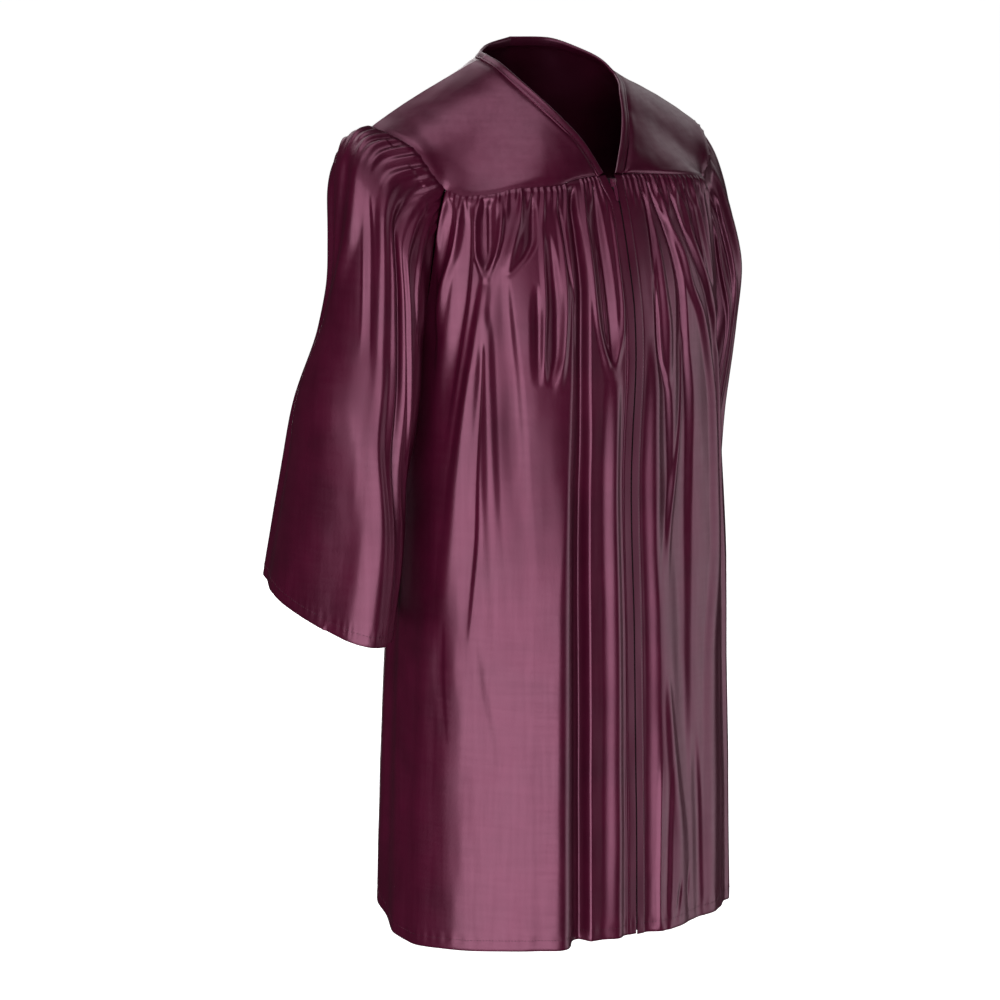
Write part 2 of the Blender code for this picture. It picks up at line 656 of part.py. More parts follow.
def sleeve_fold_height(turns, drop, ridges):
    """How far the folds stand out of the smooth sleeve; drop is the way down from the seam."""
    height = np.zeros(drop.shape)
    for number, place in enumerate(ridges):
        wobble = math.sin(1.9 * number)
        length = SLEEVE_GATHER_LENGTH * (1 + 0.3 * wobble)
        fade = soft_step(drop, 0.0, 0.014) * (1 - soft_step(drop, 0.3 * length, length))
        away = np.abs(turns - place) / SLEEVE_GATHER_HALF_TURN
        height += SLEEVE_GATHER_HEIGHT * fade * (bell(away) - 0.4 * (away < 2))
    for top, hem, start, end, wide_top, wide_hem, rise in SLEEVE_FOLDS:
        down = np.clip(drop / SLEEVE_FALL, 0.0, 1.0)
        place = top + (hem - top) * down
        wide = wide_top + (wide_hem - wide_top) * down
        fade = soft_step(drop, start, start + 0.07)
        if end < SLEEVE_FALL:
            fade = fade * (1 - soft_step(drop, end - 0.12, end))
        height += rise * fade * bell((turns - place) / (1.6 * wide))
    return height


def make_sleeve(side, yoke_edge, yoke_normals):
    """A wide sleeve gathered onto the yoke's end, open at the armhole and at the hem."""
    loop, turns, on_yoke = armhole_loop(side)
    rings = sleeve_rings(side, loop, turns)
    numbers = np.arange(len(rings))
    columns = [smooth_through(SLEEVE_ROWS, numbers, rings[:, column]) for column in range(len(turns))]
    smooth = np.stack(columns, axis=1)
    drop = np.array([lengths_along(column) for column in columns]).T
    plain = turned_outwards(outward_normals(smooth, True), smooth, smooth.mean(axis=(0, 1)))
    ridges = turns[on_yoke][1::2]
    height = sleeve_fold_height(np.broadcast_to(turns, drop.shape), drop, ridges)
    grid = smooth + plain * height[..., None]
    normals = turned_outwards(outward_normals(grid, True), grid, grid.mean(axis=(0, 1)))
    nearest = np.linalg.norm(loop[:, None] - yoke_edge[None], axis=2).argmin(axis=1)
    normals[0] = np.where(on_yoke[:, None], yoke_normals[nearest], plain[0])
    make_wall("sleeve_" + side, drawn_in(grid, "top", SLEEVE_SEAM_GAP), normals, closed=True)


def front_face(z):
    """The cloth's outer face at the centre front, as y."""
    return float(body_points(0.0, z)[..., 1])


def zip_x(z):
    """The zip's place across: centred below, and in the middle of the opened top."""
    return ZIP_TOP_X * float(soft_step(z, ZIP_STRAIGHT_Z, SLIDER_TOP_Z))


def make_prism(name, sections, material):
    """A closed solid through rings of points, capped at both ends."""
    count = len(sections[0])
    points = [point for section in sections for point in section]
    faces = [tuple(range(count))]
    for number in range(len(sections) - 1):
        base = number * count
        for corner in range(count):
            after = (corner + 1) % count
            faces.append((base + after, base + corner, base + count + corner, base + count + after))
    last = (len(sections) - 1) * count
    faces.append(tuple(range(last, last + count))[::-1])
    return make_object(name, points, faces, material)


def make_box(name, low, high, material):
    (x0, y0, z0), (x1, y1, z1) = low, high
    rings = [[(x0, y0, z), (x1, y0, z), (x1, y1, z), (x0, y1, z)] for z in (z0, z1)]
    return make_prism(name, [ring[::-1] for ring in rings], material)


def join_solids(whole, others):
    """Unites closed solids that overlap into the first one."""
    bpy.context.view_layer.objects.active = whole
    for other in others:
        union = whole.modifiers.new("join_" + other.name, "BOOLEAN")
        union.operation = "UNION"
        union.object = other
        bpy.ops.object.modifier_apply(modifier=union.name)
        bpy.data.objects.remove(other)


def make_zip_tape():
    """The zip's tape behind the fronts, with the closed chain as a low ridge along it."""
    sections = []
    for z in np.linspace(TAPE_TOP_Z, TAPE_END_Z, 18):
        middle = zip_x(z)
        face = front_face(z) + WALL + CHAIN_RISE + SEAM_GAP + TAPE_CLEARANCE
        half, chain = TAPE_WIDTH / 2, CHAIN_WIDTH / 2
        outline = (
            (-half, face + TAPE_WALL), (-half, face), (-chain, face), (-chain * 0.7, face - CHAIN_RISE),
            (chain * 0.7, face - CHAIN_RISE), (chain, face), (half, face), (half, face + TAPE_WALL),
        )
        sections.append([(middle + x, y, z) for x, y in outline])
    make_prism("zip_tape", sections, make_material("zip_tape", ZIP_TAPE_COLOUR, 0.6))


def slider_face():
    """The slider's front face, as y: it sits on the chain and stands just out of the cloth."""
    return front_face(SLIDER_TOP_Z - SLIDER_HEIGHT) - SLIDER_RISE


def pull_axis():
    """The pull's hinge: a bar that hangs at the bottom of the slider's bail."""
    z = SLIDER_TOP_Z - BAIL_PLACES[1] + BAIL_BAR + 0.0003 + PULL_WALL / 2
    return ZIP_TOP_X, slider_face() - (BAIL_RISE - BAIL_BAR) / 2, z


def make_slider():
    """The slider's body with a small arch, the bail, on its face."""
    material = make_material("zip_slider", PULL_COLOUR, 0.4)
    face = slider_face()
    x0, x1 = ZIP_TOP_X - SLIDER_WIDTH / 2, ZIP_TOP_X + SLIDER_WIDTH / 2
    body = make_box(
        "zip_slider",
        (x0, face, SLIDER_TOP_Z - SLIDER_HEIGHT),
        (x1, face + SLIDER_WALL, SLIDER_TOP_Z),
        material,
    )
    top, bottom = (SLIDER_TOP_Z - place for place in BAIL_PLACES)
    b0, b1 = ZIP_TOP_X - BAIL_WIDTH / 2, ZIP_TOP_X + BAIL_WIDTH / 2
    out, sunk = face - BAIL_RISE, face + SLIDER_WALL / 2
    join_solids(
        body,
        [
            make_box("bail_top", (b0, out, top - BAIL_BAR), (b1, sunk, top), material),
            make_box("bail_foot", (b0, out, bottom), (b1, sunk, bottom + BAIL_BAR), material),
            make_box("bail_bridge", (b0, out, bottom), (b1, out + BAIL_BAR, top), material),
        ],
    )


def make_pull():
    """The pull tab: a tapered plate with an eye at its top, modelled hanging from its axis."""
    material = make_material("zip_pull", PULL_COLOUR, 0.35)
    eye_half, eye_end = PULL_EYE[0] / 2, PULL_EYE[1]
    half, thick = PULL_WIDTH / 2, PULL_WALL / 2
    outline = (
        (-half, 0.0), (-half, -0.55 * PULL_LENGTH), (-0.6 * half, -0.94 * PULL_LENGTH),
        (0.0, -PULL_LENGTH), (0.6 * half, -0.94 * PULL_LENGTH), (half, -0.55 * PULL_LENGTH),
        (half, 0.0), (0.6 * half, thick), (-0.6 * half, thick),
    )
    rings = [[(x, y, z) for x, z in outline] for y in (-thick, thick)]
    pull = make_prism("zip_pull", rings, material)
    eye = make_box("eye", (-eye_half, -2 * thick, -eye_end), (eye_half, 2 * thick, -thick), material)
    cut = pull.modifiers.new("eye", "BOOLEAN")
    cut.operation = "DIFFERENCE"
    cut.object = eye
    bpy.context.view_layer.objects.active = pull
    bpy.ops.object.modifier_apply(modifier=cut.name)
    bpy.data.objects.remove(eye)
    pull.location = pull_axis()
    pull.rotation_euler = (-math.radians(PULL_LEAN), 0.0, 0.0)


def remove_old_objects():
    for old in list(bpy.data.objects):
        bpy.data.objects.remove(old)


remove_old_objects()
yoke_edge, yoke_edge_normals = make_yokes_and_band()
make_body()
for side in ("right", "left"):
    make_sleeve(side, yoke_edge, yoke_edge_normals)
make_zip_tape()
make_slider()
make_pull()
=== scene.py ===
"""Looks of the choir robe: satin cloth with its gathers and folds, seams, hems and zip.

Metres, +Z up, front at -Y, the wearer's right at -X, the same frame as the solids.
"round" is an angle in degrees about the body's axis: 0 at the centre front, positive
towards the wearer's right, 180 at the back. On the wearer's left it runs on to 360.
"""
import math

import bpy
import numpy as np
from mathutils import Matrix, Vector, noise


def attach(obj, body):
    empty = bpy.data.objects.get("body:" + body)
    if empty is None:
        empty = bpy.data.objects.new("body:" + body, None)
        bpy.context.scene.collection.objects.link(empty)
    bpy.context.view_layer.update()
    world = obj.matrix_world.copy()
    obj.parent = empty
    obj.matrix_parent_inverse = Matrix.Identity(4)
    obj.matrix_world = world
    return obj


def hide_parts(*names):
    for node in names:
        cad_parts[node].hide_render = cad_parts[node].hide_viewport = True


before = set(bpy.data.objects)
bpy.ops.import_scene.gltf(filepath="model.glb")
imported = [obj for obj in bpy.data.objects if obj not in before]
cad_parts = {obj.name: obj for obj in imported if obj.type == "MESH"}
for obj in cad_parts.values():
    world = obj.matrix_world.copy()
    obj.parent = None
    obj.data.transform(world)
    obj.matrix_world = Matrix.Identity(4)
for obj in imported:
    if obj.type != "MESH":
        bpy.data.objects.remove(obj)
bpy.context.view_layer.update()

# Camera of the photograph
CAMERA_AT = (-1.8054, -2.3959, 0.12)
CAMERA_TARGET = (-0.0385, 0.0290, -0.4296)
CAMERA_LENS = 114.2
FLOOR_Z = -1.02
WORLD_FILL = 0.016

# Robe sizes, the same as the solids'
HEM_Z = -0.830
SEAM_GAP = 0.0003
ROUNDNESS = 2.6
SIDE_SEAM = 97.7
FRONT_GAP = 0.0016
V_OPENING = 0.0085
V_OPENING_Z = (-0.110, -0.140)
BAND_WIDTH = 0.0090
BAND_END_ROUND = 6.5
BODY_SECTIONS = (
    # z, right, left, front, back
    (-0.110, 0.155, 0.155, 0.0950, 0.100),
    (-0.150, 0.152, 0.156, 0.1060, 0.105),
    (-0.210, 0.149, 0.160, 0.1160, 0.110),
    (-0.280, 0.147, 0.163, 0.1190, 0.113),
    (-0.390, 0.152, 0.172, 0.1210, 0.118),
    (-0.500, 0.157, 0.178, 0.1250, 0.123),
    (-0.600, 0.162, 0.180, 0.1280, 0.127),
    (-0.830, 0.170, 0.184, 0.1330, 0.132),
)
HEM_DROP = (
    # round, drop below HEM_Z
    (0, -0.001), (40, -0.003), (52, -0.002), (62, 0.0005), (72, 0.003), (80, 0.006), (88, 0.008),
    (96, 0.007), (100, 0.0055), (106, -0.003), (112, -0.009), (118, -0.012), (140, -0.008),
    (180, 0.000), (262, 0.001), (285, 0.004), (320, 0.001), (360, 0.000),
)
TOP_EDGE = {
    "right": (
        # round, z
        (0, -0.1108), (19, -0.1124), (27, -0.1148), (32.4, -0.1180), (44, -0.1190),
        (51.6, -0.1198), (58.7, -0.1236), (68.9, -0.1262), (75.3, -0.1220), (79, -0.1500),
        (85, -0.2050), (91, -0.2500), (97.7, -0.2750), (104, -0.2550), (110, -0.2050),
        (115, -0.1600), (118.5, -0.1320), (125, -0.1330), (150, -0.1370), (180, -0.1390),
    ),
    "left": (
        (0, -0.1108), (25, -0.1120), (43.8, -0.1150), (60, -0.1190), (69, -0.1220),
        (73, -0.1230), (77, -0.1500), (84, -0.2050), (91, -0.2500), (97.7, -0.2750),
        (104, -0.2550), (110, -0.2050), (115, -0.1600), (118.5, -0.1320), (125, -0.1330),
        (150, -0.1370), (180, -0.1390),
    ),
}
YOKE_CORNER = {"right": 75.3, "left": 73.0}
BACK_CORNER = 118.5
SHOULDER_EDGE = {
    "right": (
        # x, y, z from the yoke's front corner to its back corner
        (-0.1605, -0.0350, -0.1070), (-0.1720, -0.0240, -0.0850), (-0.1840, 0.0020, -0.0710),
        (-0.1880, 0.0220, -0.0655), (-0.1865, 0.0420, -0.0750), (-0.1790, 0.0620, -0.0950),
        (-0.1670, 0.0740, -0.1150),
    ),
    "left": (
        (0.1630, -0.0370, -0.1040), (0.1730, -0.0180, -0.0850), (0.1800, 0.0040, -0.0740),
        (0.1830, 0.0220, -0.0690), (0.1830, 0.0420, -0.0770), (0.1780, 0.0620, -0.0960),
        (0.1670, 0.0740, -0.1150),
    ),
}
SHOULDER_TIP = 3
NECK_EDGE = {
    "right": {
        "front": (
            (-0.0105, -0.0938, -0.1088), (-0.0240, -0.0810, -0.0800), (-0.0400, -0.0680, -0.0580),
            (-0.0520, -0.0540, -0.0415), (-0.0600, -0.0360, -0.0270), (-0.0650, -0.0120, -0.0120),
            (-0.0650, 0.0120, -0.0040),
        ),
        "back": (
            (-0.0650, 0.0120, -0.0040), (-0.0560, 0.0340, -0.0015), (-0.0360, 0.0530, 0.0040),
            (0.0000, 0.0660, 0.0100),
        ),
    },
    "left": {
        "front": (
            (0.0018, -0.0955, -0.1098), (0.0146, -0.0830, -0.0975), (0.0320, -0.0660, -0.0780),
            (0.0470, -0.0480, -0.0560), (0.0580, -0.0300, -0.0400), (0.0690, -0.0140, -0.0320),
            (0.0765, 0.0020, -0.0250),
        ),
        "back": (
            (0.0765, 0.0020, -0.0250), (0.0735, 0.0200, -0.0115), (0.0600, 0.0380, -0.0005),
            (0.0360, 0.0570, 0.0090), (0.0000, 0.0660, 0.0100),
        ),
    },
}
YOKE_CROWN = {"front": 0.0060, "shoulder": 0.0030, "back": 0.0070}
SLEEVE_SECTIONS = {
    "right": (
        # outer x, outer z, inner x, inner z, centre y, half depth, front drop
        (-0.2110, -0.0730, -0.1540, -0.2900, 0.0180, 0.0560, 0.000),
        (-0.2260, -0.1020, -0.1540, -0.3050, 0.0140, 0.0520, 0.000),
        (-0.2265, -0.1600, -0.1550, -0.3250, 0.0140, 0.0510, 0.000),
        (-0.2290, -0.2350, -0.1570, -0.3600, 0.0240, 0.0580, 0.006),
        (-0.2440, -0.3150, -0.1620, -0.4050, 0.0400, 0.0700, 0.012),
        (-0.2460, -0.3950, -0.1650, -0.4500, 0.0500, 0.0820, 0.020),
        (-0.2570, -0.5150, -0.1740, -0.5220, 0.0620, 0.0900, 0.022),
    ),
    "left": (
        (0.1960, -0.0800, 0.1680, -0.2900, 0.0290, 0.0460, 0.000),
        (0.2130, -0.1100, 0.1690, -0.3050, 0.0270, 0.0470, 0.000),
        (0.2310, -0.1750, 0.1720, -0.3250, 0.0250, 0.0510, 0.000),
        (0.2350, -0.2400, 0.1760, -0.3600, 0.0400, 0.0560, 0.006),
        (0.2400, -0.3200, 0.1830, -0.4050, 0.0680, 0.0640, 0.012),
        (0.2450, -0.4000, 0.1870, -0.4500, 0.0880, 0.0740, 0.020),
        (0.2510, -0.5180, 0.1930, -0.5180, 0.1050, 0.0820, 0.028),
    ),
}

# How far the closed zip wanders to the wearer's left of the middle, by height
ZIP_WANDER = (
    # z, shift
    (-0.100, 0.0000), (-0.130, 0.0010), (-0.165, 0.0030), (-0.200, 0.0050), (-0.240, 0.0078),
    (-0.270, 0.0086), (-0.300, 0.0076), (-0.350, 0.0045), (-0.420, 0.0025), (-0.530, 0.0036),
    (-0.700, 0.0040), (-0.850, 0.0042),
)
ZIP_WANDER_REACH = (0.010, 0.050)

# Folds of the right front, from the zip to the side. Each is a path of places with half-widths
# towards and away from the zip, in degrees, and a height: above zero a ridge, below a trough.
RIGHT_FRONT_FOLDS = {
    # name: rows of z, round, half-width zipward, half-width sideward, height
    "ridge beside the zip": (
        (-0.285, 10, 2.4, 2.6, 0), (-0.32, 9.8, 2.6, 3.2, 0.0036), (-0.414, 9.6, 2.8, 3.6, 0.0054),
        (-0.642, 9.6, 2.8, 3.7, 0.0056), (-0.758, 9.8, 2.8, 3.8, 0.0054), (-0.86, 10, 3, 4, 0.0048),
    ),
    "raised edge of the plain": (
        (-0.3, 31, 3, 8, 0), (-0.36, 31, 4, 13, 0.003), (-0.45, 32, 5, 17, 0.008),
        (-0.56, 33, 5.5, 19, 0.0115), (-0.86, 33.5, 6, 20, 0.012),
    ),
    "lip of the plain": (
        (-0.38, 30.5, 3, 5, 0), (-0.45, 31, 3.2, 6, 0.003), (-0.56, 31.5, 3.4, 7, 0.0048),
        (-0.86, 31.5, 3.4, 7, 0.005),
    ),
    "deep fold": (
        (-0.118, 27, 2, 1.8, -0.002), (-0.134, 27, 2.2, 1.8, -0.006), (-0.162, 25.4, 2.4, 2.2, -0.0085),
        (-0.218, 23.2, 2.6, 2.6, -0.01), (-0.339, 23.2, 2.8, 3.4, -0.0115), (-0.414, 24, 3, 4.4, -0.0125),
        (-0.528, 24.6, 3, 5.8, -0.013), (-0.7, 24.6, 3, 6, -0.013), (-0.86, 24.6, 3, 6, -0.013),
    ),
    "zip hollow": (
        (-0.122, 14.6, 1.2, 1.2, -0.001), (-0.15, 14.6, 2.6, 2.6, -0.005),
        (-0.2, 13.6, 3.6, 3.4, -0.0065), (-0.246, 12.8, 3.4, 3.4, -0.006),
        (-0.27, 11.8, 2.2, 2.4, -0.004), (-0.284, 11.2, 1.2, 1.2, 0),
    ),
    "its far bank": (
        (-0.118, 22.6, 1.2, 1.2, 0.0005), (-0.15, 21.2, 1.4, 1.4, 0.003), (-0.2, 18.6, 1.4, 1.4, 0.0034),
        (-0.25, 16.2, 1.4, 1.4, 0.003), (-0.28, 13.4, 1.6, 1.6, 0.002), (-0.3, 11.6, 2, 2, 0),
    ),
    "its near bank": (
        (-0.13, 6, 1.2, 1.2, 0), (-0.162, 5.4, 1.2, 1.4, 0.0022), (-0.218, 5.4, 1.2, 1.4, 0.0024),
        (-0.255, 6.8, 1.4, 1.4, 0.0022), (-0.28, 9.4, 1.6, 1.6, 0.0014), (-0.3, 11, 2, 2, 0),
    ),
    "ridge in the zip hollow": (
        (-0.17, 15, 0.8, 0.8, 0), (-0.2, 13.6, 0.8, 0.8, 0.002), (-0.25, 12.4, 0.8, 0.8, 0.002),
        (-0.276, 11.8, 0.7, 0.7, 0),
    ),
    "thin crease": (
        (-0.13, 34.5, 0.5, 0.5, 0), (-0.152, 32.4, 0.6, 0.7, -0.0018), (-0.19, 29.8, 0.6, 0.7, -0.002),
        (-0.215, 27.6, 0.6, 0.7, -0.0016), (-0.264, 26.4, 0.6, 0.6, -0.0012), (-0.34, 26, 0.6, 0.6, 0),
    ),
    "middle hollow": (
        (-0.16, 38, 1, 1, 0), (-0.19, 36.4, 2.2, 2.2, -0.0036), (-0.236, 35, 3, 3, -0.0046),
        (-0.27, 35, 2.8, 2.8, -0.0042), (-0.29, 36.4, 1.8, 1.8, -0.0024), (-0.3, 37, 1.2, 1.2, 0),
    ),
    "its left bank": (
        (-0.15, 40.6, 0.9, 0.9, 0), (-0.18, 40, 1.1, 1.1, 0.0022), (-0.227, 38.8, 1.1, 1.1, 0.0026),
        (-0.27, 39.4, 1.1, 1.1, 0.002), (-0.3, 39, 1.4, 1.4, 0),
    ),
    "its right bank": (
        (-0.14, 34.5, 0.9, 0.9, 0), (-0.18, 32, 1, 1, 0.0022), (-0.227, 30.6, 1.2, 1.2, 0.0028),
        (-0.27, 31.6, 1.4, 1.4, 0.0026), (-0.31, 34, 2, 2, 0),
    ),
    "narrow hollow": (
        (-0.205, 42.5, 1, 1, 0), (-0.236, 42, 1.8, 1.8, -0.0026), (-0.27, 41.8, 1.8, 1.8, -0.0024),
        (-0.3, 42, 1.2, 1.2, 0),
    ),
    "slanting hollow": (
        (-0.118, 46.5, 0.8, 0.8, 0), (-0.14, 44.8, 1.8, 1.8, -0.0036), (-0.165, 44.6, 2.2, 2.2, -0.0044),
        (-0.18, 46.5, 1.8, 1.8, -0.0036), (-0.19, 49.5, 1.4, 1.4, -0.0024), (-0.2, 53, 0.8, 0.8, 0),
    ),
    "light triangle": (
        (-0.12, 49, 1.2, 1.4, 0.0005), (-0.15, 49.5, 1.6, 2, 0.0032), (-0.175, 51.5, 1.6, 2, 0.003),
        (-0.196, 53, 1.2, 1.2, 0),
    ),
    "small hollow": (
        (-0.12, 60.4, 1, 1, -0.001), (-0.14, 60.4, 2.6, 2.6, -0.0046), (-0.17, 60.2, 2.8, 2.8, -0.0052),
        (-0.184, 60.2, 2.2, 2.2, -0.0036), (-0.193, 60.2, 1.2, 1.2, 0),
    ),
    "small hollow's left bank": (
        (-0.122, 63.6, 0.9, 0.9, 0.0005), (-0.15, 64.2, 1, 1, 0.003), (-0.178, 63.8, 1, 1, 0.003),
        (-0.192, 62, 1.2, 1.2, 0.002), (-0.205, 60.6, 1.6, 1.6, 0),
    ),
    "small hollow's right bank": (
        (-0.122, 55.6, 0.9, 0.9, 0.0005), (-0.15, 55.4, 1, 1, 0.003), (-0.178, 56.8, 1, 1, 0.003),
        (-0.19, 58.6, 1.2, 1.2, 0.002), (-0.205, 60, 1.6, 1.6, 0),
    ),
    "ridge in the small hollow": (
        (-0.13, 60.9, 0.5, 0.5, 0), (-0.15, 60.7, 0.6, 0.6, 0.0016), (-0.172, 60.5, 0.6, 0.6, 0.0014),
        (-0.184, 60.4, 0.5, 0.5, 0),
    ),
    "long curved ridge": (
        (-0.19, 60.2, 1.4, 1.4, 0), (-0.215, 61, 2, 2, 0.003), (-0.264, 64, 2.4, 2.4, 0.0042),
        (-0.302, 66.6, 2.6, 2.6, 0.0044), (-0.358, 69.4, 3, 3, 0.0036), (-0.414, 71.5, 3.4, 3.4, 0.0028),
        (-0.5, 74.5, 4, 4, 0.0014), (-0.56, 77, 4, 4, 0),
    ),
    "second long ridge": (
        (-0.225, 60.4, 1.2, 1.2, 0), (-0.25, 60, 1.6, 1.6, 0.002), (-0.302, 59.4, 2, 2, 0.0032),
        (-0.377, 58.2, 2.2, 2.4, 0.0028), (-0.442, 57, 2.6, 2.6, 0.0018), (-0.52, 55, 3, 3, 0.0008),
        (-0.59, 53, 3, 3, 0),
    ),
    "crease between the long ridges": (
        (-0.255, 61.4, 0.8, 0.8, 0), (-0.29, 62.4, 1, 1, -0.0016), (-0.377, 64.2, 1.6, 1.6, -0.0024),
        (-0.442, 65, 2.4, 2.4, -0.0026), (-0.5, 66, 2, 2, -0.0016), (-0.54, 66.4, 1.4, 1.4, 0),
    ),
    "wide valley": (
        (-0.19, 54, 1.4, 1.4, 0), (-0.215, 54, 2.6, 2.6, -0.0026), (-0.25, 53.5, 3.6, 3.6, -0.0044),
        (-0.32, 51.4, 4.4, 4.2, -0.0048), (-0.377, 50, 4.4, 4.2, -0.0034),
        (-0.45, 48.4, 4.4, 4.4, -0.0018), (-0.54, 48, 4.4, 4.4, -0.0005), (-0.58, 48, 4, 4, 0),
    ),
    "first side pleat": (
        (-0.124, 74.6, 0.9, 0.9, 0.0005), (-0.14, 76.6, 1.1, 1.1, 0.003),
        (-0.162, 79.4, 1.2, 1.2, 0.0028), (-0.182, 80.6, 1, 1, 0),
    ),
    "hollow between the pleats": (
        (-0.13, 73.2, 1, 1, -0.001), (-0.15, 74.4, 1.4, 1.6, -0.0034), (-0.18, 77.4, 1.6, 1.8, -0.0034),
        (-0.205, 80, 1.4, 1.4, 0),
    ),
    "second side pleat": (
        (-0.126, 69.8, 0.9, 0.9, 0.0005), (-0.15, 70.4, 1.2, 1.2, 0.0036),
        (-0.18, 72.6, 1.5, 1.5, 0.0042), (-0.208, 77, 2, 2, 0.004), (-0.23, 79.6, 2.6, 2.6, 0.003),
        (-0.262, 82, 3, 3, 0),
    ),
    "side hollow": (
        (-0.128, 67.2, 1, 1, -0.001), (-0.16, 67.4, 2, 2, -0.0046), (-0.218, 69.6, 2.8, 2.8, -0.0054),
        (-0.264, 73.4, 3.2, 3.2, -0.0046), (-0.32, 77.5, 3.6, 3.6, -0.0024), (-0.38, 80, 4, 4, 0),
    ),
    "hollow by the sleeve": (
        (-0.19, 82, 1.6, 1.6, 0), (-0.24, 84, 2.6, 3, -0.003), (-0.3, 86, 3, 3, 0),
    ),
    "streak in the plain": (
        (-0.52, 65, 3, 3, 0), (-0.57, 63, 4, 4, -0.0012), (-0.64, 58, 4, 4, -0.001), (-0.7, 56, 3, 3, 0),
    ),
    "streak at the side": (
        (-0.52, 76, 1.6, 1.6, 0), (-0.56, 76.5, 2.2, 2.2, -0.0012), (-0.6, 75, 1.8, 1.8, -0.0008),
        (-0.64, 73, 1.4, 1.4, 0),
    ),
    "dent in the plain": (
        (-0.48, 46, 2, 2, 0), (-0.56, 47, 3, 3, -0.0008), (-0.64, 47, 2.4, 2.4, 0),
    ),
    "streak above the hem": (
        (-0.72, 51, 3.4, 3.4, 0), (-0.76, 50, 4, 4, -0.0006), (-0.81, 49, 3.4, 3.4, 0),
    ),
}

